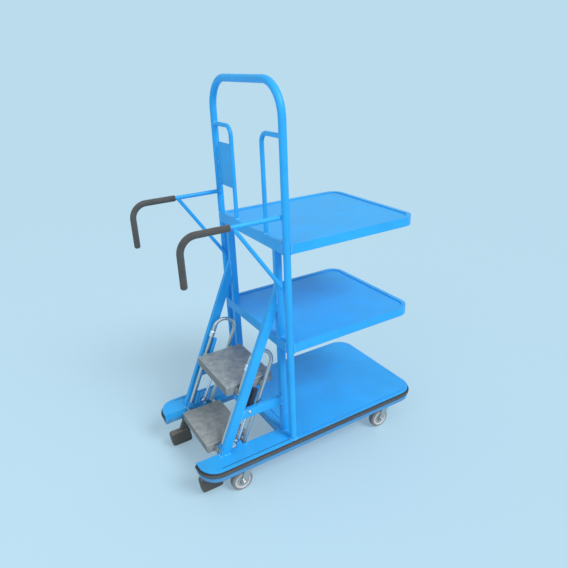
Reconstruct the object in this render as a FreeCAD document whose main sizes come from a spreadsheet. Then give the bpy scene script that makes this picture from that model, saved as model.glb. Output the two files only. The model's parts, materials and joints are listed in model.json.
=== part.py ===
import FreeCAD, Part
import math
import os
import Sketcher

# Order picking trolley with two load shelves, horn handles and a sprung step unit.
# X runs along the trolley with the operator's end at -X, Y runs across it, Z is up.
# Sizes are in millimetres. Lengthwise places are counted from the plane of the two uprights.

DIMENSIONS = {
    # Base: two wide legs inside a rim rail with a rubber bumper
    "base_bottom": 148,
    "base_height": 52,
    "base_half": 298,
    "front_reach": 434,
    "rear_reach": 722,
    "rim_width": 16,
    "rim_bend": 72,
    "rim_cap": 2,
    "leg_width": 105,
    "leg_wall": 3,
    "bumper_depth": 8,
    "bumper_height": 26,
    "bumper_raise": 20,
    "cross_width": 40,
    "cross_first": 0,
    "cross_rear_inset": 142,
    "deck_sheet": 3,
    "deck_front": 18,
    # Uprights, shelves and grab rails
    "upright_inset": 13,
    "upright_size": 30,
    "tube_wall": 2,
    "hoop_top": 1690,
    "hoop_bend": 125,
    "weld_gap": 0.2,
    "shelf_low": 638,
    "shelf_high": 1069,
    "shelf_rail_height": 40,
    "shelf_rail_width": 20,
    "shelf_overhang": 12,
    "shelf_inset": 64,
    "shelf_bend": 55,
    "shelf_drop": 4,
    "tray_depth": 25,
    "tray_sheet": 2,
    "cross_rail_height": 45,
    "slim_tube": 18,
    "slim_wall": 1.5,
    "grab_inset": 154,
    "grab_rise": 391,
    "grab_bend": 38,
    "side_plate_sheet": 3,
    "side_plate_drop": 74,
    "side_plate_height": 186,
    # Side frames that carry the step unit
    "frame_inset": 6,
    "frame_depth": 20,
    "frame_width": 40,
    "post_width": 30,
    "diagonal_foot": 302,
    "brace_rise": 147,
    # Horn handles and grips
    "horn_inset": 15,
    "horn_height": 1213,
    "horn_reach": 413,
    "horn_bend": 62,
    "horn_drop": 179,
    "horn_start": 4,
    "grip_start": 223,
    "grip_size": 26,
    "grip_round": 9,
    "brace_tube": 16,
    "horn_brace_reach": 211,
    "horn_brace_drop": 310,
    # Step unit, tilted like the side frames
    "step_tilt": 23.5,
    "step_reach": 395,
    "step_inset": 13,
    "stringer_size": 16,
    "stringer_low": 62,
    "stringer_high": 615,
    "step_rod": 17,
    "step_hoop_width": 107,
    "step_hoop_bend": 50,
    "step_hoop_top": 700,
    "step_hoop_low": 234,
    "ferrule_size": 24,
    "ferrule_length": 24,
    "upper_tread_front": 243,
    "upper_tread_back": 20,
    "upper_tread_inset": 27,
    "upper_tread_top": 482,
    "upper_tread_lip": 42,
    "lower_tread_front": 353,
    "lower_tread_back": 160,
    "lower_tread_inset": 39,
    "lower_tread_top": 217,
    "lower_tread_lip": 38,
    "tread_sheet": 3,
    "bracket_size": 24,
    "foot_clear": 25,
    "foot_front": 421,
    "foot_back": 312,
    "foot_width": 36,
    "foot_top": 100,
    "foot_rake": 9,
    "foot_bend": 14,
    "foot_round": 8,
    "sleeve_front": 15,
    "sleeve_back": 22,
    "sleeve_width": 22,
    "sleeve_low": 90,
    "sleeve_high": 186,
    "sleeve_round": 5,
    # Guides and struts of the step unit
    "guide_size": 18,
    "guide_offset": 24,
    "guide_low": 196,
    "guide_low_top": 316,
    "guide_high_foot": 414,
    "guide_high": 598,
    "guide_round": 8,
    "guide_bracket_low": 256,
    "guide_bracket_high": 417,
    "guide_bracket_length": 20,
    "guide_block_low": 229,
    "guide_block_high": 465,
    "guide_block_length": 22,
    "guide_block_edge": 3,
    "strut_inset": 11,
    "strut_offset": 70,
    "strut_rod": 14,
    "strut_tube": 28,
    "strut_foot": 262,
    "strut_rod_top": 470,
    "strut_tube_low": 410,
    "strut_tube_high": 522,
    "strut_cap": 14,
    "strut_stud": 12,
    "strut_stud_drop": 8,
    "strut_eye": 24,
    "strut_eye_width": 12,
    "strut_pin": 8,
    "strut_lug": 24,
    "strut_lug_sheet": 6,
    "run_clear": 0.08,
    # Casters
    "caster_front_inset": 225,
    "caster_rear_inset": 148,
    "caster_inset": 39,
    "caster_trail": 34,
    "wheel_size": 100,
    "wheel_width": 32,
    "tyre_thickness": 12,
    "tyre_round": 9,
    "hub_width": 28,
    "hub_boss": 28,
    "hub_boss_width": 35,
    "axle_size": 10,
    "axle_head": 17,
    "axle_head_length": 6,
    "fork_gap": 36,
    "fork_sheet": 3,
    "fork_foot": 26,
    "fork_round_share": 0.9,
    "crown_size": 52,
    "crown_height": 13,
    "crown_width": 44,
    "race_size": 54,
    "race_height": 10,
    "swivel_gap": 0.3,
    "king_size": 12,
    "king_head": 22,
    "king_head_height": 4,
    "caster_plate_length": 105,
    "caster_plate_width": 78,
    "caster_plate_sheet": 4,
    "caster_pad_sheet": 4,
    "bolt_spacing_long": 80,
    "bolt_spacing_wide": 60,
    "bolt_size": 8,
    "bolt_head": 14,
    "bolt_head_height": 5,
    "overrun": 20,
}

doc = FreeCAD.newDocument("order_picking_trolley")
sheet = doc.addObject("Spreadsheet::Sheet", "dims")
for row, (alias, size) in enumerate(DIMENSIONS.items(), start=1):
    sheet.set(f"A{row}", alias.replace("_", " "))
    sheet.set(f"B{row}", str(size))
    sheet.setAlias(f"B{row}", alias)
doc.recompute()

NODES = []
SIDES = {"left": 1, "right": -1}

# Places that several pieces share, written as expressions over the sheet
UPRIGHT_X = "((dims.front_reach - dims.rear_reach) / 2)"
BASE_TOP = "(dims.base_bottom + dims.base_height)"
CROSS_SPACING = "((dims.rear_reach - dims.cross_rear_inset - dims.cross_first) / 2)"
LEG_INNER = "(dims.base_half - dims.leg_width)"
UPRIGHT_HALF = "(dims.base_half - dims.upright_inset)"
SHELF_HALF = f"({UPRIGHT_HALF} + dims.shelf_overhang)"
SHELF_REACH = "(dims.rear_reach - dims.shelf_inset)"
GRAB_HALF = f"({UPRIGHT_HALF} - dims.grab_inset)"
GRAB_HEIGHT = "(dims.shelf_high + dims.cross_rail_height + dims.grab_rise)"
HORN_HALF = f"({UPRIGHT_HALF} - dims.horn_inset)"
HORN_END = "(dims.horn_height - dims.horn_drop)"
HORN_BRACE_LOW = "(dims.horn_height - dims.horn_brace_drop)"
FRAME_INNER = f"({LEG_INNER} + dims.frame_inset)"
BRACE_BOTTOM = f"({BASE_TOP} + dims.brace_rise)"
STEP_HALF = f"({LEG_INNER} - dims.step_inset)"
TREAD_HALF = {key: f"({STEP_HALF} - dims.{key}_tread_inset)" for key in ("upper", "lower")}
STRUT_HALF = f"({LEG_INNER} - dims.strut_inset)"
CASTER_FRONT = "(dims.front_reach - dims.caster_front_inset)"
CASTER_REAR = "(dims.rear_reach - dims.caster_rear_inset)"
CASTER_HALF = f"({LEG_INNER} + dims.caster_inset)"
RIM_HALF = "(dims.base_half - dims.rim_width / 2)"
RIM_FRONT = "(dims.front_reach - dims.bumper_depth - dims.rim_width / 2)"
RIM_REAR = "(dims.rear_reach - dims.bumper_depth - dims.rim_width / 2)"
LEG_OUTER = "(dims.base_half - dims.rim_width - dims.weld_gap)"
LEG_FRONT = f"({RIM_FRONT} - dims.rim_width / 2 - dims.weld_gap)"
LEG_REAR = f"({RIM_REAR} - dims.rim_width / 2 - dims.weld_gap)"
LEG_BEND = "(dims.rim_bend - dims.rim_width / 2 - dims.weld_gap)"
UPRIGHT_SEAT = "(dims.upright_size / 2 + dims.weld_gap)"
SHELF_LINE = f"({SHELF_HALF} - dims.shelf_rail_width / 2)"
SHELF_INNER = f"({SHELF_HALF} - dims.shelf_rail_width - dims.weld_gap)"
FRAME_MIDDLE = f"({FRAME_INNER} + dims.frame_depth / 2)"
POST_FRONT = "(dims.post_width / 2)"
FRAME_SLANT = "(dims.frame_width / 2 / cos(dims.step_tilt))"
GUIDE_BORE = "(dims.guide_size / 2 + dims.run_clear)"
TYRE_BORE = "(dims.wheel_size / 2 - dims.tyre_thickness)"
PLATE_BOTTOM = "(dims.base_bottom - dims.caster_pad_sheet - dims.caster_plate_sheet)"
RACE_BOTTOM = f"({PLATE_BOTTOM} - dims.race_height)"
CROWN_TOP = f"({RACE_BOTTOM} - dims.swivel_gap)"
CROWN_BOTTOM = f"({CROWN_TOP} - dims.crown_height)"


def value(expression):
    """The number that an expression over the sheet gives now."""
    result = sheet.evalExpression(str(expression))
    return float(getattr(result, "Value", result))


def bind(thing, **expressions):
    """Binds properties, written with __ for dots, to expressions over the sheet."""
    for name, expression in expressions.items():
        thing.setExpression(name.replace("__", "."), str(expression))


def put(thing, x="0", y="0", z="0", turn=None):
    """Places an object by expressions, with an optional fixed axis and bound angle."""
    if turn:
        axis, angle = turn
        thing.Placement = FreeCAD.Placement(FreeCAD.Vector(), FreeCAD.Rotation(axis, value(angle)))
        bind(thing, Placement__Rotation__Angle=angle)
    bind(thing, Placement__Base__x=x, Placement__Base__y=y, Placement__Base__z=z)
    return thing


def node(label, thing, slanted=False):
    """Names a finished sub-part and moves it from the uprights' plane to the trolley's frame."""
    if slanted:
        put(thing, f"{UPRIGHT_X} - dims.step_reach", turn=(FreeCAD.Vector(0, 1, 0), "dims.step_tilt"))
    else:
        put(thing, UPRIGHT_X)
    thing.Label = label
    NODES.append(thing)
    return thing


def box(x, y, z):
    """A block between pairs of expressions along X, Y and Z."""
    block = doc.addObject("Part::Box", "block")
    bind(block, Length=f"({x[1]}) - ({x[0]})", Width=f"({y[1]}) - ({y[0]})", Height=f"({z[1]}) - ({z[0]})")
    return put(block, x[0], y[0], z[0])


def rod(radius, x, y, z, length, along="z"):
    """A round bar from a point, along +X, +Y or +Z."""
    bar = doc.addObject("Part::Cylinder", "bar")
    bind(bar, Radius=radius, Height=length)
    turns = {"x": (FreeCAD.Vector(0, 1, 0), "90"), "y": (FreeCAD.Vector(1, 0, 0), "-90"), "z": None}
    return put(bar, x, y, z, turns[along])


def fuse(*things):
    joined = doc.addObject("Part::MultiFuse", "joined")
    joined.Shapes = list(things)
    return joined


def cut(base, *tools):
    result = doc.addObject("Part::Cut", "trimmed")
    result.Base = base
    result.Tool = tools[0] if len(tools) == 1 else fuse(*tools)
    return result


def group(things):
    together = doc.addObject("Part::Compound", "group")
    together.Links = list(things)
    return together


def hollow_box(x, y, z, wall, open_along):
    """A rectangular tube: a block with a smaller block taken out along one axis."""
    spans = {"x": x, "y": y, "z": z}
    inner = {}
    for axis, (low, high) in spans.items():
        margin = "-dims.overrun" if axis == open_along else wall
        inner[axis] = (f"({low}) + ({margin})", f"({high}) - ({margin})")
    return cut(box(x, y, z), box(inner["x"], inner["y"], inner["z"]))


def new_body():
    return doc.addObject("PartDesign::Body", "body")


def new_sketch(body, plane, offset="0"):
    """A sketch on one of the body's own origin planes, moved along the plane's normal."""
    sketch = body.newObject("Sketcher::SketchObject", "sketch")
    origin = [f for f in body.Origin.OriginFeatures if f.Role == plane + "_Plane"][0]
    sketch.AttachmentSupport = [(origin, "")]
    sketch.MapMode = "FlatFace"
    bind(sketch, AttachmentOffset__Base__z=offset)
    return sketch


def hold(sketch, geometry, end, place):
    """Ties one end of a sketch line to a place given by two expressions."""
    for kind, expression in zip(("DistanceX", "DistanceY"), place):
        number = sketch.addConstraint(Sketcher.Constraint(kind, -1, 1, geometry, end, value(expression)))
        sketch.setExpression(f"Constraints[{number}]", str(expression))


def outline(sketch, corners, closed=True):
    """Lines through corners (x, y) or (x, y, bend radius), with tangent arcs at the rounded ones."""
    points = [FreeCAD.Vector(value(c[0]), value(c[1]), 0) for c in corners]
    count = len(points)
    spans = count if closed else count - 1
    starts = list(points)
    ends = list(points)
    arcs = {}
    for i, corner in enumerate(corners):
        if len(corner) < 3:
            continue
        before = (points[i - 1] - points[i]).normalize()
        after = (points[(i + 1) % count] - points[i]).normalize()
        radius = value(corner[2])
        half_angle = before.getAngle(after) / 2
        tangent = radius / math.tan(half_angle)
        ends[i] = points[i] + before * tangent
        starts[i] = points[i] + after * tangent
        centre = points[i] + (before + after).normalize() * (radius / math.sin(half_angle))
        turns_left = before.cross(after).z < 0
        first, last = (ends[i], starts[i]) if turns_left else (starts[i], ends[i])
        angles = [math.atan2(p.y - centre.y, p.x - centre.x) for p in (first, last)]
        circle = Part.Circle(centre, FreeCAD.Vector(0, 0, 1), radius)
        arcs[i] = (sketch.addGeometry(Part.ArcOfCircle(circle, *angles)), turns_left)
    lines = {}
    for i in range(spans):
        lines[i] = sketch.addGeometry(Part.LineSegment(starts[i], ends[(i + 1) % count]))
    for i, corner in enumerate(corners):
        arriving = lines.get(i - 1 if i or not closed else count - 1)
        leaving = lines.get(i)
        place = corner[:2]
        if i in arcs:
            arc, turns_left = arcs[i]
            arc_in, arc_out = (1, 2) if turns_left else (2, 1)
            sketch.addConstraint(Sketcher.Constraint("Tangent", arriving, 2, arc, arc_in))
            sketch.addConstraint(Sketcher.Constraint("Tangent", arc, arc_out, leaving, 1))
            number = sketch.addConstraint(Sketcher.Constraint("Radius", arc, value(corner[2])))
            sketch.setExpression(f"Constraints[{number}]", str(corner[2]))
            mark = sketch.addGeometry(Part.Point(points[i]), True)
            hold(sketch, mark, 1, place)
            sketch.addConstraint(Sketcher.Constraint("PointOnObject", mark, 1, arriving))
            sketch.addConstraint(Sketcher.Constraint("PointOnObject", mark, 1, leaving))
        elif arriving is None:
            hold(sketch, leaving, 1, place)
        elif leaving is None:
            hold(sketch, arriving, 2, place)
        else:
            sketch.addConstraint(Sketcher.Constraint("Coincident", arriving, 2, leaving, 1))
            hold(sketch, leaving, 1, place)


def ring(sketch, x, y, *radii):
    """Concentric circles about a place."""
    for radius in radii:
        centre = FreeCAD.Vector(value(x), value(y), 0)
        circle = sketch.addGeometry(Part.Circle(centre, FreeCAD.Vector(0, 0, 1), value(radius)))
        number = sketch.addConstraint(Sketcher.Constraint("Radius", circle, value(radius)))
        sketch.setExpression(f"Constraints[{number}]", str(radius))
        hold(sketch, circle, 3, (x, y))


def rectangle(sketch, x, y, width, height):
    """A rectangle about a place."""
    low_x, high_x = f"{x} - ({width}) / 2", f"{x} + ({width}) / 2"
    low_y, high_y = f"{y} - ({height}) / 2", f"{y} + ({height}) / 2"
    outline(sketch, [(low_x, low_y), (high_x, low_y), (high_x, high_y), (low_x, high_y)])


def pad(body, sketch, length, middle=False, back=False):
    feature = body.newObject("PartDesign::Pad", "pad")
    feature.Profile = sketch
    feature.Midplane = middle
    feature.Reversed = back
    bind(feature, Length=length)
    return feature


def pocket(body, sketch, length, middle=False, back=False):
    feature = body.newObject("PartDesign::Pocket", "pocket")
    feature.Profile = sketch
    feature.Midplane = middle
    feature.Reversed = back
    bind(feature, Length=length)
    return feature


def sweep(body, profile, spine, kind="Additive"):
    feature = body.newObject(f"PartDesign::{kind}Pipe", "pipe")
    feature.Profile = profile
    feature.Spine = spine
    return feature


def bent_tube(plane, offset, corners, start_plane, start_offset, centre, size, wall):
    """A round tube along a rounded path, with its ring drawn where the path starts."""
    body = new_body()
    spine = new_sketch(body, plane, offset)
    outline(spine, corners, closed=False)
    profile = new_sketch(body, start_plane, start_offset)
    ring(profile, *centre, f"{size} / 2", f"{size} / 2 - {wall}")
    sweep(body, profile, spine)
    return body


def upright_seats(low, high, gap=UPRIGHT_SEAT):
    """The space that the two uprights take up, for saddle cuts."""
    for side in SIDES.values():
        yield rod(gap, "0", f"{side} * {UPRIGHT_HALF}", low, f"{high} - ({low})")


# Base rim, bumper, legs, cross members and deck
def rim_path():
    corners = [(f"-{RIM_FRONT}", f"-{LEG_INNER}"), (f"-{RIM_FRONT}", f"-{RIM_HALF}", "dims.rim_bend"),
               (RIM_REAR, f"-{RIM_HALF}", "dims.rim_bend"), (RIM_REAR, RIM_HALF, "dims.rim_bend"),
               (f"-{RIM_FRONT}", RIM_HALF, "dims.rim_bend"), (f"-{RIM_FRONT}", LEG_INNER)]
    return corners


def base_rim():
    body = new_body()
    middle = "dims.base_bottom + dims.base_height / 2"
    spine = new_sketch(body, "XY", middle)
    outline(spine, rim_path(), closed=False)
    profile = new_sketch(body, "XZ", LEG_INNER)
    rectangle(profile, f"-{RIM_FRONT}", middle, "dims.rim_width", "dims.base_height")
    rectangle(profile, f"-{RIM_FRONT}", middle, "dims.rim_width - 2 * dims.tube_wall",
              "dims.base_height - 2 * dims.tube_wall")
    sweep(body, profile, spine)
    node("base_rim", body)
    caps = []
    for side in SIDES.values():
        inner = f"{side} * ({LEG_INNER} - dims.rim_cap / 2) - dims.rim_cap / 2"
        caps.append(box((f"-{RIM_FRONT} - dims.rim_width / 2", f"-{RIM_FRONT} + dims.rim_width / 2"),
                        (inner, f"{inner} + dims.rim_cap"), ("dims.base_bottom", BASE_TOP)))
    node("rim_end_caps", group(caps))


def bumper():
    body = new_body()
    middle = "(dims.base_bottom + dims.bumper_raise + dims.bumper_height / 2)"
    spine = new_sketch(body, "XY", middle)
    outline(spine, rim_path(), closed=False)
    profile = new_sketch(body, "XZ", LEG_INNER)
    back = f"-{RIM_FRONT} - dims.rim_width / 2"
    low, high = f"{middle} - dims.bumper_height / 2", f"{middle} + dims.bumper_height / 2"
    radius = "((dims.bumper_height / 2)^2 + dims.bumper_depth^2) / (2 * dims.bumper_depth)"
    low_point = FreeCAD.Vector(value(back), value(low), 0)
    high_point = FreeCAD.Vector(value(back), value(high), 0)
    nose = FreeCAD.Vector(value(f"{back} - dims.bumper_depth"), value(middle), 0)
    flat = profile.addGeometry(Part.LineSegment(low_point, high_point))
    bow = profile.addGeometry(Part.Arc(high_point, nose, low_point))
    profile.addConstraint(Sketcher.Constraint("Coincident", flat, 2, bow, 1))
    profile.addConstraint(Sketcher.Constraint("Coincident", bow, 2, flat, 1))
    hold(profile, flat, 1, (back, low))
    hold(profile, flat, 2, (back, high))
    number = profile.addConstraint(Sketcher.Constraint("Radius", bow, value(radius)))
    profile.setExpression(f"Constraints[{number}]", radius)
    sweep(body, profile, spine)
    node("bumper", body)


def leg(name, side):
    body = new_body()
    shells = [("dims.base_bottom", "0", "dims.base_height"),
              ("dims.base_bottom", "dims.leg_wall", "dims.base_height - dims.leg_wall")]
    for order, (level, inset, height) in enumerate(shells):
        inner, outer = f"{side} * ({LEG_INNER} + {inset})", f"{side} * ({LEG_OUTER} - {inset})"
        front, rear = f"-({LEG_FRONT} - {inset})", f"{LEG_REAR} - {inset}"
        bend = f"{LEG_BEND} - {inset}"
        sketch = new_sketch(body, "XY", level)
        outline(sketch, [(front, inner), (rear, inner), (rear, outer, bend), (front, outer, bend)])
        if order == 0:
            pad(body, sketch, height)
        else:
            pocket(body, sketch, height, back=True)
    node(name, body)


def base_cross_members():
    members = []
    for place in range(3):
        front = f"dims.cross_first + {place} * {CROSS_SPACING} - dims.cross_width / 2"
        members.append(hollow_box((front, f"{front} + dims.cross_width"),
                                  (f"-{LEG_INNER} + dims.weld_gap", f"{LEG_INNER} - dims.weld_gap"),
                                  (f"{BASE_TOP} - dims.frame_width", BASE_TOP), "dims.tube_wall", "y"))
    node("base_cross_members", group(members))


def deck_panel():
    body = new_body()
    sketch = new_sketch(body, "XY", BASE_TOP)
    outline(sketch, [("dims.deck_front", f"-{LEG_OUTER}"), (LEG_REAR, f"-{LEG_OUTER}", LEG_BEND),
                     (LEG_REAR, LEG_OUTER, LEG_BEND), ("dims.deck_front", LEG_OUTER)])
    pad(body, sketch, "dims.deck_sheet")
    node("deck_panel", body)


# Uprights, grab rails, cross rails and shelves
def main_hoop():
    half = UPRIGHT_HALF
    corners = [(f"-{half}", BASE_TOP), (f"-{half}", "dims.hoop_top", "dims.hoop_bend"),
               (half, "dims.hoop_top", "dims.hoop_bend"), (half, BASE_TOP)]
    body = bent_tube("YZ", "0", corners, "XY", BASE_TOP, ("0", f"-{half}"),
                     "dims.upright_size", "dims.tube_wall")
    node("main_hoop", body)


def grab_rail(name, side):
    inner, outer = f"{side} * {GRAB_HALF}", f"{side} * {UPRIGHT_HALF}"
    low = "(dims.shelf_high + dims.cross_rail_height)"
    corners = [(inner, low), (inner, GRAB_HEIGHT, "dims.grab_bend"), (outer, GRAB_HEIGHT)]
    tube = bent_tube("YZ", "0", corners, "XY", low, ("0", inner), "dims.slim_tube", "dims.slim_wall")
    node(name, cut(tube, *upright_seats(low, "dims.hoop_top - dims.hoop_bend")))


def side_plate():
    """A flat sheet from the left grab rail to the left upright, trimmed to the inside of the hoop."""
    half = "dims.side_plate_sheet / 2"
    inner = f"{GRAB_HALF} + dims.slim_tube / 2 + dims.weld_gap"
    top = f"{GRAB_HEIGHT} - dims.side_plate_drop"
    sheet = box((f"-{half}", half), (inner, UPRIGHT_HALF), (f"{top} - dims.side_plate_height", top))
    body = new_body()
    sketch = new_sketch(body, "YZ")
    across = f"({UPRIGHT_HALF} - {UPRIGHT_SEAT})"
    high, bend = f"dims.hoop_top - {UPRIGHT_SEAT}", f"dims.hoop_bend - {UPRIGHT_SEAT}"
    outline(sketch, [(f"-{across}", BASE_TOP), (f"-{across}", high, bend),
                     (across, high, bend), (across, BASE_TOP)])
    pad(body, sketch, "dims.side_plate_sheet + 2 * dims.overrun", middle=True)
    trimmed = doc.addObject("Part::Common", "trimmed")
    trimmed.Base, trimmed.Tool = sheet, body
    node("side_plate", trimmed)


def cross_rail(name, level):
    high = f"{level} + dims.cross_rail_height"
    tube = hollow_box((f"-{POST_FRONT}", POST_FRONT), (f"-{SHELF_INNER}", SHELF_INNER), (level, high),
                      "dims.tube_wall", "y")
    node(name, cut(tube, *upright_seats(f"{level} - dims.overrun", f"{high} + dims.overrun")))


def shelf_rail(name, level):
    body = new_body()
    middle = f"({level} + dims.shelf_rail_height / 2)"
    rear = f"({SHELF_REACH} - dims.shelf_rail_width / 2)"
    spine = new_sketch(body, "XY", middle)
    outline(spine, [("0", f"-{SHELF_LINE}"), (rear, f"-{SHELF_LINE}", "dims.shelf_bend"),
                    (rear, SHELF_LINE, "dims.shelf_bend"), ("0", SHELF_LINE)], closed=False)
    profile = new_sketch(body, "YZ")
    for inset in ("0", "2 * dims.tube_wall"):
        rectangle(profile, f"-{SHELF_LINE}", middle, f"dims.shelf_rail_width - {inset}",
                  f"dims.shelf_rail_height - {inset}")
    sweep(body, profile, spine)
    high = f"{level} + dims.shelf_rail_height + dims.overrun"
    node(name, cut(body, *upright_seats(f"{level} - dims.overrun", high)))


def shelf_deck(name, level):
    body = new_body()
    top = f"({level} + dims.shelf_rail_height - dims.shelf_drop)"
    rear = f"({SHELF_REACH} - dims.shelf_rail_width - dims.weld_gap)"
    bend = "(dims.shelf_bend - dims.shelf_rail_width / 2 - dims.weld_gap)"
    front = f"({POST_FRONT} + dims.weld_gap)"
    for order, inset in enumerate(("0", "dims.tray_sheet")):
        half = f"({SHELF_INNER} - {inset})"
        sketch = new_sketch(body, "XY", f"{top} - dims.tray_depth")
        near, far, corner = f"{front} + {inset}", f"{rear} - {inset}", f"{bend} - {inset}"
        outline(sketch, [(near, f"-{half}"), (far, f"-{half}", corner), (far, half, corner), (near, half)])
        if order == 0:
            pad(body, sketch, "dims.tray_depth")
        else:
            pocket(body, sketch, "dims.tray_depth - dims.tray_sheet", back=True)
    node(name, body)


# Side frames: posts, diagonals and braces
def frame_span(side):
    """The two faces of a side frame along Y, lower value first."""
    faces = [f"{side} * {FRAME_INNER}", f"{side} * ({FRAME_INNER} + dims.frame_depth)"]
    return tuple(faces if side > 0 else reversed(faces))


def posts():
    stacks = [(BASE_TOP, "dims.shelf_low"), ("dims.shelf_low + dims.cross_rail_height", "dims.shelf_high")]
    pieces = []
    for side in SIDES.values():
        for span in stacks:
            width = (f"-{POST_FRONT}", POST_FRONT)
            pieces.append(hollow_box(width, frame_span(side), span, "dims.tube_wall", "z"))
    node("posts", group(pieces))


def slope_x(edge, level):
    """X on a line parallel to the diagonals, edge away from their axis, at a level."""
    return f"(-dims.diagonal_foot + {edge} + ({level} - {BASE_TOP}) * tan(dims.step_tilt))"


def slope_z(edge, x):
    """Z where such a line reaches X."""
    return f"({BASE_TOP} + ({x} + dims.diagonal_foot - ({edge})) / tan(dims.step_tilt))"


def flat_bar(side, corners, bore_corners):
    """A bar cut from rectangular tube: its side outline, and the bore that runs out at both ends."""
    body = new_body()
    sketch = new_sketch(body, "XZ", f"{-side} * {FRAME_MIDDLE}")
    outline(sketch, corners)
    pad(body, sketch, "dims.frame_depth", middle=True)
    bore = new_sketch(body, "XZ", f"{-side} * {FRAME_MIDDLE}")
    outline(bore, bore_corners)
    pocket(body, bore, "dims.frame_depth - 2 * dims.tube_wall", middle=True)
    return body


def diagonal(name, side):
    post = f"-{POST_FRONT}"
    past = f"({post} + dims.overrun)"
    below = f"({BASE_TOP} - dims.overrun)"
    out, inn = FRAME_SLANT, f"({FRAME_SLANT} - dims.tube_wall / cos(dims.step_tilt))"
    corners = [(slope_x(f"-{out}", BASE_TOP), BASE_TOP), (slope_x(out, BASE_TOP), BASE_TOP),
               (post, slope_z(out, post)), (post, slope_z(f"-{out}", post))]
    bore = [(slope_x(f"-{inn}", below), below), (slope_x(inn, below), below),
            (past, slope_z(inn, past)), (past, slope_z(f"-{inn}", past))]
    node(name, flat_bar(side, corners, bore))


def braces():
    low, high = BRACE_BOTTOM, f"({BRACE_BOTTOM} + dims.frame_width)"
    bore_low, bore_high = f"({low} + dims.tube_wall)", f"({high} - dims.tube_wall)"
    edge, bore_edge = f"({FRAME_SLANT} + dims.weld_gap)", f"({FRAME_SLANT} - dims.overrun)"
    post, past = f"(-{POST_FRONT} - dims.weld_gap)", f"(-{POST_FRONT} + dims.overrun)"
    bars = []
    for side in SIDES.values():
        corners = [(slope_x(edge, low), low), (post, low), (post, high), (slope_x(edge, high), high)]
        bore = [(slope_x(bore_edge, bore_low), bore_low), (past, bore_low), (past, bore_high),
                (slope_x(bore_edge, bore_high), bore_high)]
        bars.append(flat_bar(side, corners, bore))
    node("braces", group(bars))


# Horn handles with their braces and grips
def horn_corners(start, end):
    return [(f"-{start}", "dims.horn_height"), ("-dims.horn_reach", "dims.horn_height", "dims.horn_bend"),
            ("-dims.horn_reach", end)]


def horn(name, side):
    centre = (f"{side} * {HORN_HALF}", "dims.horn_height")
    tube = bent_tube("XZ", f"{-side} * {HORN_HALF}", horn_corners("dims.horn_start", HORN_END),
                     "YZ", "-dims.horn_start", centre, "dims.slim_tube", "dims.slim_wall")
    near = "dims.horn_height - dims.slim_tube"
    node(name, cut(tube, *upright_seats(near, "dims.horn_height + dims.slim_tube")))


def grip(side):
    body = new_body()
    plane = f"{-side} * {HORN_HALF}"
    centre = (f"{side} * {HORN_HALF}", "dims.horn_height")
    outer = new_sketch(body, "XZ", plane)
    outline(outer, horn_corners("dims.grip_start", f"{HORN_END} - dims.grip_round"), closed=False)
    skin = new_sketch(body, "YZ", "-dims.grip_start")
    ring(skin, *centre, "dims.grip_size / 2")
    sweep(body, skin, outer)
    doc.recompute()
    level = value(f"{HORN_END} - dims.grip_round")
    rims = [f"Edge{i}" for i, edge in enumerate(body.Tip.Shape.Edges, start=1)
            if edge.Closed and abs(edge.Vertexes[0].Z - level) < value("dims.weld_gap")]
    rounded = body.newObject("PartDesign::Fillet", "rounded")
    rounded.Base = (body.Group[-2], rims)
    bind(rounded, Radius="dims.grip_round")
    inner = new_sketch(body, "XZ", plane)
    outline(inner, horn_corners("dims.grip_start", HORN_END), closed=False)
    bore = new_sketch(body, "YZ", "-dims.grip_start")
    ring(bore, *centre, "dims.slim_tube / 2")
    sweep(body, bore, inner, "Subtractive")
    return body


def grips():
    node("grips", group([grip(side) for side in SIDES.values()]))


def horn_braces():
    rise = f"(dims.horn_height - {HORN_BRACE_LOW})"
    angle = f"-atan(dims.horn_brace_reach / {rise})"
    length = f"sqrt(dims.horn_brace_reach^2 + {rise}^2)"
    tubes = []
    for side in SIDES.values():
        half = f"{side} * {HORN_HALF}"
        bars = []
        for size in ("dims.brace_tube / 2", "dims.brace_tube / 2 - dims.slim_wall"):
            bar = rod(size, "0", "0", "0", length)
            bars.append(put(bar, "0", half, HORN_BRACE_LOW, (FreeCAD.Vector(0, 1, 0), angle)))
        seat = rod("dims.slim_tube / 2 + dims.weld_gap", "-2 * dims.horn_brace_reach", half,
                   "dims.horn_height", "2 * dims.horn_brace_reach", "x")
        across = (f"{half} - dims.brace_tube", f"{half} + dims.brace_tube")
        beyond = box(("-dims.horn_start", "dims.upright_size"), across,
                     (f"{HORN_BRACE_LOW} - dims.upright_size", "dims.horn_height"))
        above = box(("-2 * dims.horn_brace_reach", "0"), across,
                    ("dims.horn_height", "dims.horn_height + dims.overrun"))
        seats = upright_seats(f"{HORN_BRACE_LOW} - dims.upright_size", "dims.horn_height")
        tubes.append(cut(bars[0], bars[1], seat, beyond, above, *seats))
    node("horn_braces", group(tubes))


# Guides, struts and the sprung step unit, drawn along their own slope
def guide_bar(half, low, high):
    """A round bar with a domed top, fixed to the side frame."""
    bar = rod("dims.guide_size / 2", "dims.guide_offset", half, low, f"{high} - {low}")
    doc.recompute()
    top = value(high)
    rims = [i for i, edge in enumerate(bar.Shape.Edges, start=1)
            if edge.Closed and abs(edge.Vertexes[0].Z - top) < value("dims.weld_gap")]
    dome = doc.addObject("Part::Fillet", "dome")
    dome.Base = bar
    dome.Edges = [(i, value("dims.guide_round"), value("dims.guide_round")) for i in rims]
    return dome


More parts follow.
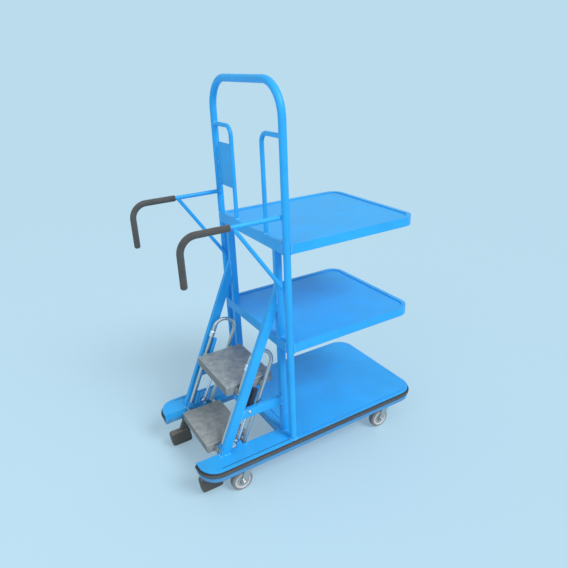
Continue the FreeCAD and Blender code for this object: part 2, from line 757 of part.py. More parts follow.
def guides():
    bars = []
    brackets = []
    for side in SIDES.values():
        half = f"{side} * {STEP_HALF}"
        bars.append(guide_bar(half, "dims.guide_low", "dims.guide_low_top"))
        bars.append(guide_bar(half, "dims.guide_high_foot", "dims.guide_high"))
        faces = [half, f"{side} * ({FRAME_INNER} - dims.weld_gap)"]
        span = faces if side > 0 else faces[::-1]
        for low in ("dims.guide_bracket_low", "dims.guide_bracket_high"):
            width = ("dims.guide_offset - dims.guide_size / 2", "dims.guide_offset + dims.guide_size / 2")
            lug = box(width, span, (low, f"{low} + dims.guide_bracket_length"))
            seat = rod("dims.guide_size / 2 + dims.weld_gap", "dims.guide_offset", half,
                       f"{low} - dims.overrun", "dims.guide_bracket_length + 2 * dims.overrun")
            past = box(("dims.guide_offset - dims.guide_size", "dims.guide_offset + dims.guide_size"),
                       (f"{half} - dims.guide_size / 4", f"{half} + dims.guide_size / 4"),
                       (f"{low} - dims.overrun", f"{low} + dims.guide_bracket_length + dims.overrun"))
            brackets.append(cut(lug, seat, past))
    node("guide_bars", group(bars), slanted=True)
    node("guide_brackets", group(brackets), slanted=True)


def strut_rods():
    """Chrome rods with an eye, each held by a pin in a lug that stands on the leg."""
    rods = []
    lugs = []
    up, over = "sin(dims.step_tilt)", "cos(dims.step_tilt)"
    eye_x = f"(dims.strut_foot * {up} + dims.strut_offset * {over} - dims.step_reach)"
    eye_z = f"(dims.strut_foot * {over} - dims.strut_offset * {up})"
    for side in SIDES.values():
        half = f"{side} * {STRUT_HALF}"
        bar = rod("dims.strut_rod / 2", "dims.strut_offset", half, "dims.strut_foot",
                  "dims.strut_rod_top - dims.strut_foot")
        eye = rod("dims.strut_eye / 2", "dims.strut_offset", f"{half} - dims.strut_eye_width / 2",
                  "dims.strut_foot", "dims.strut_eye_width", "y")
        hole = rod("dims.strut_pin / 2 + dims.weld_gap", "dims.strut_offset", f"{half} - dims.overrun",
                   "dims.strut_foot", "2 * dims.overrun", "y")
        rods.append(cut(fuse(bar, eye), hole))
        pin_ends = [f"{side} * ({STRUT_HALF} - dims.strut_eye_width)", f"{side} * {FRAME_INNER}"]
        pin = rod("dims.strut_pin / 2", eye_x, min(pin_ends, key=value), eye_z,
                  f"{FRAME_INNER} - {STRUT_HALF} + dims.strut_eye_width", "y")
        face = f"{side} * {FRAME_INNER} - dims.strut_lug_sheet / 2"
        plate = box((f"{eye_x} - dims.strut_lug / 2", f"{eye_x} + dims.strut_lug / 2"),
                    (face, f"{face} + dims.strut_lug_sheet"), (BASE_TOP, f"{eye_z} + dims.strut_lug / 2"))
        lugs.append(fuse(plate, pin))
    node("strut_rods", group(rods), slanted=True)
    node("strut_lugs", group(lugs))


def strut_cylinders():
    pieces = []
    for side in SIDES.values():
        half = f"{side} * {STRUT_HALF}"
        tube = rod("dims.strut_tube / 2", "dims.strut_offset", half, "dims.strut_tube_low",
                   "dims.strut_tube_high - dims.strut_tube_low")
        bore = rod("dims.strut_rod / 2 + dims.run_clear", "dims.strut_offset", half,
                   "dims.strut_tube_low - dims.overrun",
                   "dims.strut_tube_high - dims.strut_tube_low + dims.overrun - dims.strut_cap")
        seat = f"{side} * ({TREAD_HALF['upper']} + dims.weld_gap)"
        stud = rod("dims.strut_stud / 2", "dims.strut_offset", seat if side > 0 else half,
                   "dims.strut_tube_high - dims.strut_stud_drop",
                   f"{STRUT_HALF} - {TREAD_HALF['upper']} - dims.weld_gap", "y")
        pieces.append(cut(fuse(tube, stud), bore))
    node("strut_cylinders", group(pieces), slanted=True)


def stringer(name, side):
    half = f"{side} * {STEP_HALF}"
    length = "dims.stringer_high - dims.stringer_low"
    tube = rod("dims.stringer_size / 2", "0", half, "dims.stringer_low", length)
    bore = rod("dims.stringer_size / 2 - dims.slim_wall", "0", half, "dims.stringer_low - dims.overrun",
               f"{length} + 2 * dims.overrun")
    node(name, cut(tube, bore), slanted=True)


def step_hoop(name, side):
    width, high = "dims.step_hoop_width", "dims.step_hoop_top"
    bend = "dims.step_hoop_bend"
    corners = [("0", "dims.stringer_high"), ("0", high, bend), (width, high, bend),
               (width, "dims.step_hoop_low")]
    body = bent_tube("XZ", f"{-side} * {STEP_HALF}", corners, "XY", "dims.stringer_high",
                     ("0", f"{side} * {STEP_HALF}"), "dims.step_rod", "dims.slim_wall")
    node(name, body, slanted=True)


def ferrules():
    collars = []
    low = "dims.stringer_high - dims.ferrule_length / 2"
    for side in SIDES.values():
        half = f"{side} * {STEP_HALF}"
        collar = rod("dims.ferrule_size / 2", "0", half, low, "dims.ferrule_length")
        bore = rod("dims.step_rod / 2 + dims.weld_gap", "0", half, f"{low} - dims.overrun",
                   "dims.ferrule_length + 2 * dims.overrun")
        collars.append(cut(collar, bore))
    node("ferrules", group(collars), slanted=True)


def tread(name, key):
    body = new_body()
    top, lip = f"dims.{key}_tread_top", f"dims.{key}_tread_lip"
    front, back, half = f"dims.{key}_tread_front", f"dims.{key}_tread_back", TREAD_HALF[key]
    for order, inset in enumerate(("0", "dims.tread_sheet")):
        sketch = new_sketch(body, "XY", f"{top} - {lip}")
        near, far = f"-{front} + {inset}", f"-{back} - {inset}"
        outline(sketch, [(near, f"-{half} + {inset}"), (far, f"-{half} + {inset}"),
                         (far, f"{half} - {inset}"), (near, f"{half} - {inset}")])
        if order == 0:
            pad(body, sketch, lip)
        else:
            pocket(body, sketch, f"{lip} - dims.tread_sheet", back=True)
    node(name, body)


def slope_length(offset, level):
    """How far up the slope a bar at an offset from the stringers reaches a level."""
    return f"(({level} + {offset} * sin(dims.step_tilt)) / cos(dims.step_tilt))"


def tread_brackets():
    blocks = []
    for key in ("upper", "lower"):
        level = f"(dims.{key}_tread_top - dims.{key}_tread_lip / 2)"
        for offset, size in (("0", "dims.stringer_size"), ("dims.step_hoop_width", "dims.step_rod")):
            along = slope_length(offset, level)
            for side in SIDES.values():
                faces = [f"{side} * ({TREAD_HALF[key]} + dims.weld_gap)", f"{side} * {STEP_HALF}"]
                span = faces if side > 0 else faces[::-1]
                half = "dims.bracket_size / 2"
                block = box((f"{offset} - {half}", f"{offset} + {half}"), span,
                            (f"{along} - {half}", f"{along} + {half}"))
                seat = rod(f"{size} / 2 + dims.weld_gap", offset, f"{side} * {STEP_HALF}",
                           f"{along} - dims.bracket_size", "2 * dims.bracket_size")
                blocks.append(cut(block, seat))
    node("tread_brackets", group(blocks), slanted=True)


def guide_blocks():
    blocks = []
    for side in SIDES.values():
        stringer_line, guide_line = f"{side} * {STEP_HALF}", f"{side} * {STEP_HALF}"
        faces = [f"{side} * ({STEP_HALF} - dims.stringer_size / 2 - dims.guide_block_edge)",
                 f"{side} * ({STEP_HALF} + dims.guide_size / 2 + dims.guide_block_edge)"]
        span = faces if side > 0 else faces[::-1]
        for low in ("dims.guide_block_low", "dims.guide_block_high"):
            block = box(("-dims.stringer_size / 2 - dims.guide_block_edge",
                         "dims.guide_offset + dims.guide_size / 2 + dims.guide_block_edge"), span,
                        (low, f"{low} + dims.guide_block_length"))
            start, reach = f"{low} - dims.overrun", "dims.guide_block_length + 2 * dims.overrun"
            bores = [rod("dims.stringer_size / 2 + dims.weld_gap", "0", stringer_line, start, reach),
                     rod(GUIDE_BORE, "dims.guide_offset", guide_line, start, reach)]
            blocks.append(cut(block, *bores))
    node("guide_blocks", group(blocks), slanted=True)


def foot(name, side):
    body = new_body()
    sketch = new_sketch(body, "XZ", f"{-side} * {STEP_HALF}")
    bend = "dims.foot_bend"
    outline(sketch, [("-dims.foot_front + dims.foot_rake", "dims.foot_clear", bend),
                     ("-dims.foot_back", "dims.foot_clear", bend),
                     ("-dims.foot_back - dims.foot_rake", "dims.foot_top", bend),
                     ("-dims.foot_front", "dims.foot_top", bend)])
    block = pad(body, sketch, "dims.foot_width", middle=True)
    doc.recompute()
    rims = [f"Edge{i}" for i, edge in enumerate(block.Shape.Edges, start=1)
            if abs(edge.Vertexes[0].Y - edge.Vertexes[-1].Y) < value("dims.weld_gap")]
    rounded = body.newObject("PartDesign::Fillet", "rounded")
    rounded.Base = (block, rims)
    bind(rounded, Radius="dims.foot_round")
    tilt = (FreeCAD.Vector(0, 1, 0), "dims.step_tilt")
    up, over = "sin(dims.step_tilt)", "cos(dims.step_tilt)"
    sleeve = doc.addObject("Part::Box", "sleeve")
    bind(sleeve, Length="dims.sleeve_front + dims.sleeve_back", Width="dims.sleeve_width",
         Height="dims.sleeve_high - dims.sleeve_low")
    put(sleeve, f"dims.sleeve_low * {up} - dims.sleeve_front * {over} - dims.step_reach",
        f"{side} * {STEP_HALF} - dims.sleeve_width / 2",
        f"dims.sleeve_low * {over} + dims.sleeve_front * {up}", tilt)
    doc.recompute()
    edges = [(i, value("dims.sleeve_round"), value("dims.sleeve_round"))
             for i in range(1, len(sleeve.Shape.Edges) + 1)]
    soft = doc.addObject("Part::Fillet", "soft")
    soft.Base = sleeve
    soft.Edges = edges
    socket = rod("dims.stringer_size / 2 + dims.weld_gap", "0", "0", "0", "dims.foot_top * 2")
    start = "(dims.stringer_low - dims.weld_gap)"
    put(socket, f"{start} * {up} - dims.step_reach", f"{side} * {STEP_HALF}", f"{start} * {over}", tilt)
    node(name, cut(fuse(body, soft), socket))


# Casters: pads, bolted plates with a kingpin, forks, axles and wheels
CASTER_PLACES = {"front": f"-{CASTER_FRONT}", "rear": CASTER_REAR}
CASTERS = [(f"{end}_{name}", place, side)
           for end, place in CASTER_PLACES.items() for name, side in SIDES.items()]


def caster_tops():
    pads = []
    tops = []
    bolts = []
    for _, place, side in CASTERS:
        middle = f"{side} * {CASTER_HALF}"
        x = (f"{place} - dims.caster_plate_length / 2", f"{place} + dims.caster_plate_length / 2")
        y = (f"{middle} - dims.caster_plate_width / 2", f"{middle} + dims.caster_plate_width / 2")
        plate_top = f"{PLATE_BOTTOM} + dims.caster_plate_sheet"
        holes = []
        for long_way in (-1, 1):
            for wide_way in (-1, 1):
                at = (f"{place} + {long_way} * dims.bolt_spacing_long / 2",
                      f"{middle} + {wide_way} * dims.bolt_spacing_wide / 2")
                sheets = "dims.caster_pad_sheet + dims.caster_plate_sheet"
                shank = rod("dims.bolt_size / 2", *at, PLATE_BOTTOM, sheets)
                head = rod("dims.bolt_head / 2", *at, f"{PLATE_BOTTOM} - dims.bolt_head_height",
                           "dims.bolt_head_height")
                bolts.append(fuse(shank, head))
                holes.append(rod("dims.bolt_size / 2 + dims.weld_gap", *at, f"{PLATE_BOTTOM} - dims.overrun",
                                 f"{sheets} + 2 * dims.overrun"))
        edges = [f"{side} * {LEG_INNER}", f"{side} * {LEG_OUTER}"]
        pad_y = edges if side > 0 else edges[::-1]
        pads.append(cut(box(x, pad_y, (plate_top, "dims.base_bottom")), *holes))
        plate = box(x, y, (PLATE_BOTTOM, plate_top))
        race = rod("dims.race_size / 2", place, middle, RACE_BOTTOM, "dims.race_height")
        head_top = f"({CROWN_BOTTOM} - dims.swivel_gap)"
        pin = rod("dims.king_size / 2", place, middle, head_top, f"{RACE_BOTTOM} - {head_top}")
        rivet = rod("dims.king_head / 2", place, middle, f"{head_top} - dims.king_head_height",
                    "dims.king_head_height")
        tops.append(cut(fuse(plate, race, pin, rivet), *holes))
    node("caster_pads", group(pads))
    node("caster_tops", group(tops))
    node("caster_bolts", group(bolts))


def cheek(place, middle, side_way):
    """One side of a fork: a plate from the crown down to a round end about the axle."""
    body = new_body()
    face = f"{middle} + {side_way} * (dims.fork_gap / 2 + dims.fork_sheet / 2)"
    sketch = new_sketch(body, "XZ", f"-({face})")
    hub = f"{place} - dims.caster_trail"
    axle = "dims.wheel_size / 2"
    half = "dims.fork_foot / 2"
    bend = f"{half} * dims.fork_round_share"
    outline(sketch, [(f"{place} - dims.crown_width / 2", CROWN_BOTTOM),
                     (f"{hub} - {half}", f"{axle} - {half}", bend),
                     (f"{hub} + {half}", f"{axle} - {half}", bend),
                     (f"{place} + dims.crown_width / 2", CROWN_BOTTOM)])
    pad(body, sketch, "dims.fork_sheet", middle=True)
    return body


def fork(name, place, side):
    middle = f"{side} * {CASTER_HALF}"
    crown = rod("dims.crown_size / 2", place, middle, CROWN_BOTTOM, "dims.crown_height")
    across = "dims.fork_gap / 2 + dims.fork_sheet"
    bridge = box((f"{place} - dims.crown_width / 2", f"{place} + dims.crown_width / 2"),
                 (f"{middle} - ({across})", f"{middle} + ({across})"),
                 (CROWN_BOTTOM, f"{CROWN_BOTTOM} + dims.fork_sheet"))
    cheeks = [cheek(place, middle, side_way) for side_way in (-1, 1)]
    king = rod("dims.king_size / 2 + dims.run_clear", place, middle, f"{CROWN_BOTTOM} - dims.overrun",
               "dims.crown_height + 2 * dims.overrun")
    axle = rod("dims.axle_size / 2 + dims.weld_gap", f"{place} - dims.caster_trail",
               f"{middle} - dims.fork_gap", "dims.wheel_size / 2", "2 * dims.fork_gap", "y")
    node(f"fork_{name}", cut(fuse(crown, bridge, *cheeks), king, axle))


def axle(name, place, side):
    middle = f"{side} * {CASTER_HALF}"
    hub = f"{place} - dims.caster_trail"
    reach = "(dims.fork_gap / 2 + dims.fork_sheet)"
    level = "dims.wheel_size / 2"
    bar = rod("dims.axle_size / 2", hub, f"{middle} - {reach}", level, f"2 * {reach}", "y")
    nuts = [rod("dims.axle_head / 2", hub, f"{middle} {way}", level, "dims.axle_head_length", "y")
            for way in (f"- {reach} - dims.axle_head_length", f"+ {reach}")]
    node(f"axle_{name}", fuse(bar, *nuts))


def wheel(name, place, side):
    middle = f"{side} * {CASTER_HALF}"
    hub = f"{place} - dims.caster_trail"
    level = "dims.wheel_size / 2"

    def disc(radius, width):
        return rod(radius, hub, f"{middle} - ({width}) / 2", level, width, "y")

    blank = disc("dims.wheel_size / 2", "dims.wheel_width")
    doc.recompute()
    rims = [i for i, edge in enumerate(blank.Shape.Edges, start=1) if edge.Closed]
    rounded = doc.addObject("Part::Fillet", "rounded")
    rounded.Base = blank
    rounded.Edges = [(i, value("dims.tyre_round"), value("dims.tyre_round")) for i in rims]
    node(f"tyre_{name}", cut(rounded, disc(TYRE_BORE, "dims.wheel_width + 2 * dims.overrun")))
    body = fuse(disc(TYRE_BORE, "dims.hub_width"), disc("dims.hub_boss / 2", "dims.hub_boss_width"))
    bore = disc("dims.axle_size / 2 + dims.run_clear", "dims.hub_boss_width + 2 * dims.overrun")
    node(f"hub_{name}", cut(body, bore))


base_rim()
bumper()
for side_name, side_sign in SIDES.items():
    leg(f"leg_{side_name}", side_sign)
base_cross_members()
deck_panel()
main_hoop()
for side_name, side_sign in SIDES.items():
    grab_rail(f"grab_rail_{side_name}", side_sign)
side_plate()
for shelf, shelf_level in (("lower", "dims.shelf_low"), ("upper", "dims.shelf_high")):
    cross_rail(f"{shelf}_cross_rail", shelf_level)
    shelf_rail(f"{shelf}_shelf_rail", shelf_level)
    shelf_deck(f"{shelf}_shelf_deck", shelf_level)
posts()
for side_name, side_sign in SIDES.items():
    diagonal(f"diagonal_{side_name}", side_sign)
braces()
for side_name, side_sign in SIDES.items():
    horn(f"horn_{side_name}", side_sign)
grips()
horn_braces()
guides()
strut_rods()
strut_cylinders()
for side_name, side_sign in SIDES.items():
    stringer(f"stringer_{side_name}", side_sign)
    step_hoop(f"step_hoop_{side_name}", side_sign)
    foot(f"foot_{side_name}", side_sign)
ferrules()
for tread_key in ("upper", "lower"):
    tread(f"{tread_key}_tread", tread_key)
tread_brackets()
guide_blocks()
caster_tops()
for caster in CASTERS:
    fork(*caster)
    axle(*caster)
    wheel(*caster)
doc.recompute()

# Every object has to be sound before anything is written
for thing in doc.Objects:
    if "Invalid" in thing.State or "Error" in thing.State:
        raise RuntimeError(f"{thing.Name} ({thing.Label}) failed: {thing.State}")
for thing in NODES:
    if thing.Shape.isNull() or not thing.Shape.isValid() or not thing.Shape.Solids:
        raise RuntimeError(f"{thing.Label} has no sound solid")

os.makedirs("parts", exist_ok=True)
for thing in NODES:
    thing.Shape.exportStep(f"parts/{thing.Label}.step")
    print(f"{thing.Label}: {len(thing.Shape.Solids)} solids, {thing.Shape.Volume / 1000:.1f} cm3")
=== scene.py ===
"""Looks for an order picking trolley: paint, plating, rubber, welds, fasteners, tread plate and a studio."""

import json
import math

import bmesh
import bpy
from mathutils import Matrix, Vector


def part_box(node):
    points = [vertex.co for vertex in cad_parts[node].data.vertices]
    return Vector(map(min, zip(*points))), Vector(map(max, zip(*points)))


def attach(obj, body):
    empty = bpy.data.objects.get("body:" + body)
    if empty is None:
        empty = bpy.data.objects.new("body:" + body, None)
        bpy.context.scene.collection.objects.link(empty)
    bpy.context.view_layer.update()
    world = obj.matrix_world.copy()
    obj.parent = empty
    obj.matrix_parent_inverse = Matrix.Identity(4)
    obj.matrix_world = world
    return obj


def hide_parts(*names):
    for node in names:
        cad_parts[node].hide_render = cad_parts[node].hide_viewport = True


bl_info = {
    "name": "Order Picking Trolley",
    "version": (1, 0, 0),
    "blender": (4, 5, 0),
    "location": "View3D > Sidebar > Trolley",
    "description": "Finishes, welds, fasteners, tread plate and studio for an order picking trolley",
    "category": "Object",
}

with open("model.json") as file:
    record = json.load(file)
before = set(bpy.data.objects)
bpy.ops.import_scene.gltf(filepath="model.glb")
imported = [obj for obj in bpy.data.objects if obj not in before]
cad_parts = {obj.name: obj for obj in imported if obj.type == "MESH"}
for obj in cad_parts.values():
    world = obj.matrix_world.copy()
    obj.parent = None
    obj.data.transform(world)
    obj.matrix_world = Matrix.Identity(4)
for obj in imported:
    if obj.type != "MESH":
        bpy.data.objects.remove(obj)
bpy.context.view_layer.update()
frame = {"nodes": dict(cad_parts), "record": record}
RECORD = frame["record"]
CASTERS = [name[len("tyre_"):] for name in sorted(frame["nodes"]) if name.startswith("tyre_")]
SIDES = {"left": 1, "right": -1}


def middle(node, axis):
    low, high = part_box(node)
    return (low[axis] + high[axis]) / 2


UPRIGHT_X = middle("main_hoop", 0)
STEP_HALF = middle("stringer_left", 1)
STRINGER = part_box("stringer_left")[1].y - STEP_HALF
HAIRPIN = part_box("step_hoop_left")[1].y - STEP_HALF
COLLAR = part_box("ferrules")[1].y - STEP_HALF
KINGPINS = {joint["name"][:-len("_swivel")]: Vector(joint["pos_m"])
            for joint in RECORD["behaviour"]["joints"] if joint["name"].endswith("_swivel")}

# Sizes that the boxes of the nodes don't tell
STEP_TILT = math.radians(23.5)
STEP_REACH = 0.395
HAIRPIN_WIDTH = 0.107
HAIRPIN_END = 0.234
COLLAR_TOP = 0.627
CAP_LIP = 0.0012
COLLAR_LAP = 0.0005
LEG_BEND = 0.0638
LEG_JOINT_START = 0.020
SHELF_TUBE = 0.020
DIAGONAL_TUBE = 0.040
# How far the beads of each tube lie from an upright's centre, as shares of its radius
SEAT_SHARES = {"cross_rail": 0.55, "shelf_rail": 0.93, "grab_rail": 0.95, "horn": 0.75}
BRACE_BOLT = 0.010
BRACE_BOLT_BACK = 0.173
BRACE_BOLT_RISE = 0.006
PLATE_BOLT = 0.0125
PLATE_BOLT_HALF = (0.040, 0.030)
PLATE_BOLT_SINK = 0.005
AXLE_NUT = 0.0155
AXLE_NUT_SINK = 0.006
TREAD_BOLT_SINK = 0.0006
DUST_RING_GAP = 0.0003
SMOOTH_ANGLE = math.radians(35)
STEP_FRAME = Matrix.Translation((UPRIGHT_X - STEP_REACH, 0, 0)) @ Matrix.Rotation(STEP_TILT, 4, "Y")

# Nodes with a finish of their own instead of their slot's
OWN_FINISH = {"strut_rods": "bright_chrome", "ferrules": "bright_chrome"}

# Where most of a noise's values lie
NOISE_SPAN = (0.3, 0.7)

# Colours that wear and dirt bring in, and painted shade on the frame's low strip and the treads' front faces
DUST = (0.17, 0.16, 0.15)
SCRAPED_BLUE = (0.10, 0.45, 0.92)
DUST_AND_SHADE_BLUE = (0.10, 0.24, 0.42)
SCRAPED_GREY = (0.42, 0.45, 0.48)
RUBBED_GREY = (0.56, 0.59, 0.61)
FRONT_SHADE_GREY = (0.155, 0.138, 0.128)
PLATING_DUST = (0.30, 0.29, 0.27)

# Studio layout
FLOOR_RADIUS = 40.0
FLOOR_SHADE = 0.955
FLOOR_FADE = (4.0, 9.0)
FLOOR_GLOW = (0.40, 1.0)
ROOM_WHITE = (0.95, 0.98, 1.0)
KEY_PLACE = (1.0, -3.1, 3.9)
KEY_ANGLE = math.radians(24)
FILL_PLACE = (-2.6, -1.6, 3.0)
FILL_SIZE = 2.4
LIGHT_AIM = Vector((0, 0, 0.5))
SENSOR_WIDTH = 36.0

# What all the colour settings share
COLOUR = {"subtype": "COLOR", "size": 3, "min": 0, "max": 1}


# Settings that a user would change
class TrolleyFinish(bpy.types.PropertyGroup):
    """Colours of the trolley's finishes and how worn they are."""

    blue: bpy.props.FloatVectorProperty(
        name="Frame blue", description="Sky blue paint of the frame",
        default=(0.024, 0.390, 0.87), **COLOUR)
    chip: bpy.props.FloatVectorProperty(
        name="Chipped metal", description="Bare metal where the paint is worn off",
        default=(0.33, 0.36, 0.40), **COLOUR)
    tread: bpy.props.FloatVectorProperty(
        name="Tread grey", description="Grey of the two treads",
        default=(0.285, 0.313, 0.311), **COLOUR)
    grip: bpy.props.FloatVectorProperty(
        name="Grip grey", description="Dark foam of the hand grips",
        default=(0.060, 0.059, 0.058), **COLOUR)
    rubber: bpy.props.FloatVectorProperty(
        name="Bumper black", description="Rubber of the bumper",
        default=(0.066, 0.070, 0.080), **COLOUR)
    foot: bpy.props.FloatVectorProperty(
        name="Foot brown", description="Rubber of the step feet",
        default=(0.070, 0.061, 0.053), **COLOUR)
    tyre: bpy.props.FloatVectorProperty(
        name="Tyre grey", description="Non-marking rubber of the tyres",
        default=(0.30, 0.285, 0.28), **COLOUR)
    wear: bpy.props.FloatProperty(
        name="Edge wear", description="Share of the paint worn off along sharp edges", subtype="FACTOR",
        default=0.55, min=0, max=1)


class TrolleyDetail(bpy.types.PropertyGroup):
    """Sizes of the small details."""

    bead: bpy.props.FloatProperty(
        name="Weld bead", description="Radius of the weld beads", default=0.0024, min=0.0005, max=0.006,
        unit="LENGTH")
    lozenge_length: bpy.props.FloatProperty(
        name="Lozenge length", description="Length of a raised lozenge on the treads", default=0.021,
        min=0.005, max=0.05, unit="LENGTH")
    lozenge_pitch: bpy.props.FloatProperty(
        name="Lozenge pitch", description="Distance between lozenges", default=0.0165, min=0.005, max=0.05,
        unit="LENGTH")
    lozenge_rise: bpy.props.FloatProperty(
        name="Lozenge rise", description="Height of a lozenge above the tread", default=0.0003, min=0.0001,
        max=0.004, unit="LENGTH")
    bolt: bpy.props.FloatProperty(
        name="Bolt flats", description="Width across flats of the tread bolts", default=0.013, min=0.005,
        max=0.03, unit="LENGTH")


class TrolleyStudio(bpy.types.PropertyGroup):
    """Backdrop, light and camera."""

    backdrop: bpy.props.FloatVectorProperty(
        name="Backdrop", description="Pale blue of floor and background",
        default=(0.497, 0.716, 0.847), **COLOUR)
    key: bpy.props.FloatProperty(
        name="Key light", description="Strength of the main soft light", default=2.05, min=0)
    fill: bpy.props.FloatProperty(
        name="Fill light", description="Power of the soft panel over the trolley", default=24.0, min=0,
        unit="POWER")
    sky: bpy.props.FloatProperty(
        name="Room light", description="Strength of the even light from all round", default=0.58, min=0)
    lens: bpy.props.FloatProperty(
        name="Lens", description="Focal length on a 36 mm wide sensor", default=33.40, min=10, max=200,
        unit="CAMERA")
    position: bpy.props.FloatVectorProperty(
        name="Camera place", description="Where the camera stands, from the uprights' plane", size=3,
        subtype="TRANSLATION", default=(-0.9660, -1.8974, 1.7619), unit="LENGTH")
    aim: bpy.props.FloatVectorProperty(
        name="Camera turn", description="Yaw, pitch and roll of the camera", size=3, subtype="EULER",
        default=(math.radians(-30.460), math.radians(23.424), math.radians(-2.234)), unit="ROTATION")


# Small helpers for node trees
def add(tree, kind, **settings):
    item = tree.nodes.new(kind)
    for name, value in settings.items():
        setattr(item, name, value)
    return item


def feed(tree, socket, value):
    """Links an output to a socket, or sets the socket's own value."""
    if isinstance(value, bpy.types.NodeSocket):
        tree.links.new(value, socket)
    else:
        socket.default_value = value


def calc(tree, operation, first, second=None, clamp=False):
    item = add(tree, "ShaderNodeMath", operation=operation, use_clamp=clamp)
    feed(tree, item.inputs[0], first)
    if second is not None:
        feed(tree, item.inputs[1], second)
    return item.outputs[0]


def times(tree, first, second):
    return calc(tree, "MULTIPLY", first, second)


def spread(tree, value, low, high, to_low=0.0, to_high=1.0):
    """Maps a value from one span to another and clamps it."""
    item = add(tree, "ShaderNodeMapRange")
    names = ("Value", "From Min", "From Max", "To Min", "To Max")
    for name, number in zip(names, (value, low, high, to_low, to_high)):
        feed(tree, item.inputs[name], number)
    return item.outputs["Result"]


def tint(tree, factor, first, second):
    item = add(tree, "ShaderNodeMix", data_type="RGBA")
    feed(tree, item.inputs[0], factor)
    for socket, value in ((item.inputs[6], first), (item.inputs[7], second)):
        feed(tree, socket, value if isinstance(value, bpy.types.NodeSocket) else (*value[:3], 1.0))
    return item.outputs[2]


def local_place(tree):
    return add(tree, "ShaderNodeTexCoord").outputs["Object"]


def face_normal(tree):
    return add(tree, "ShaderNodeNewGeometry").outputs["Normal"]


def one_axis(tree, vector, axis):
    item = add(tree, "ShaderNodeSeparateXYZ")
    feed(tree, item.inputs[0], vector)
    return item.outputs[axis]


def noise(tree, vector, scale, detail=3.0, rough=0.55):
    item = add(tree, "ShaderNodeTexNoise")
    feed(tree, item.inputs["Vector"], vector)
    feed(tree, item.inputs["Scale"], scale)
    item.inputs["Detail"].default_value = detail
    item.inputs["Roughness"].default_value = rough
    return item.outputs["Fac"]


def stretched(tree, vector, scale, turn):
    item = add(tree, "ShaderNodeMapping")
    feed(tree, item.inputs["Vector"], vector)
    item.inputs["Scale"].default_value = scale
    item.inputs["Rotation"].default_value = turn
    return item.outputs["Vector"]


def effect(name, inputs, outputs):
    """An empty shader group with named float inputs and outputs; returns it with its two end nodes."""
    group = bpy.data.node_groups.new(name, "ShaderNodeTree")
    for label, default in inputs:
        socket = group.interface.new_socket(name=label, in_out="INPUT", socket_type="NodeSocketFloat")
        socket.default_value = default
    for label, kind in outputs:
        group.interface.new_socket(name=label, in_out="OUTPUT", socket_type=kind)
    return group, add(group, "NodeGroupInput"), add(group, "NodeGroupOutput")


def edge_wear_effect():
    """Worn patches along sharp edges, and normals that round those edges."""
    group, given, result = effect(
        "edge_wear", (("Radius", 0.002), ("Scale", 60.0), ("Amount", 0.5)),
        (("Mask", "NodeSocketFloat"), ("Normal", "NodeSocketVector")))
    rounded = add(group, "ShaderNodeBevel", samples=4)
    feed(group, rounded.inputs["Radius"], given.outputs["Radius"])
    turned = add(group, "ShaderNodeVectorMath", operation="DOT_PRODUCT")
    feed(group, turned.inputs[0], rounded.outputs["Normal"])
    feed(group, turned.inputs[1], face_normal(group))
    edge = spread(group, turned.outputs["Value"], 0.985, 0.86)
    place = local_place(group)
    patches = noise(group, place, given.outputs["Scale"], 4.0, 0.65)
    limit = calc(group, "SUBTRACT", 0.78, times(group, given.outputs["Amount"], 0.45))
    chipped = spread(group, patches, limit, calc(group, "ADD", limit, 0.05))
    feed(group, result.inputs["Mask"], times(group, edge, chipped))
    feed(group, result.inputs["Normal"], rounded.outputs["Normal"])
    return group


def mottle_effect():
    """Broad cloudy change, fine grain and scattered specks."""
    group, given, result = effect(
        "mottle", (("Scale", 8.0), ("Grain scale", 400.0)),
        (("Broad", "NodeSocketFloat"), ("Grain", "NodeSocketFloat"), ("Specks", "NodeSocketFloat")))
    place = local_place(group)
    feed(group, result.inputs["Broad"], noise(group, place, given.outputs["Scale"], 4.0, 0.6))
    feed(group, result.inputs["Grain"], noise(group, place, given.outputs["Grain scale"], 2.0, 0.6))
    speck = noise(group, place, times(group, given.outputs["Scale"], 14.0), 2.0, 0.5)
    feed(group, result.inputs["Specks"], spread(group, speck, 0.66, 0.74))
    return group


def scuff_effect():
    """Thin scratches in several directions."""
    group, given, result = effect(
        "scuffs", (("Scale", 20.0), ("Amount", 0.5)), (("Mask", "NodeSocketFloat"),))
    place = local_place(group)
    limit = calc(group, "SUBTRACT", 0.80, times(group, given.outputs["Amount"], 0.2))
    fine = times(group, given.outputs["Scale"], 9.0)
    ways = (((1, 1, 0.04), (0.5, 0.2, 0)), ((0.05, 1, 1), (0, 0.3, 0.4)), ((1, 0.05, 1), (0.2, 0, 0.9)))
    masks = []
    for scale, turn in ways:
        lines = noise(group, stretched(group, place, scale, turn), fine, 2.0)
        masks.append(spread(group, lines, limit, calc(group, "ADD", limit, 0.03)))
    scratched = calc(group, "MAXIMUM", masks[0], calc(group, "MAXIMUM", masks[1], masks[2]))
    gate = spread(group, noise(group, place, given.outputs["Scale"], 2.0), 0.48, 0.62)
    feed(group, result.inputs["Mask"], times(group, scratched, gate))
    return group


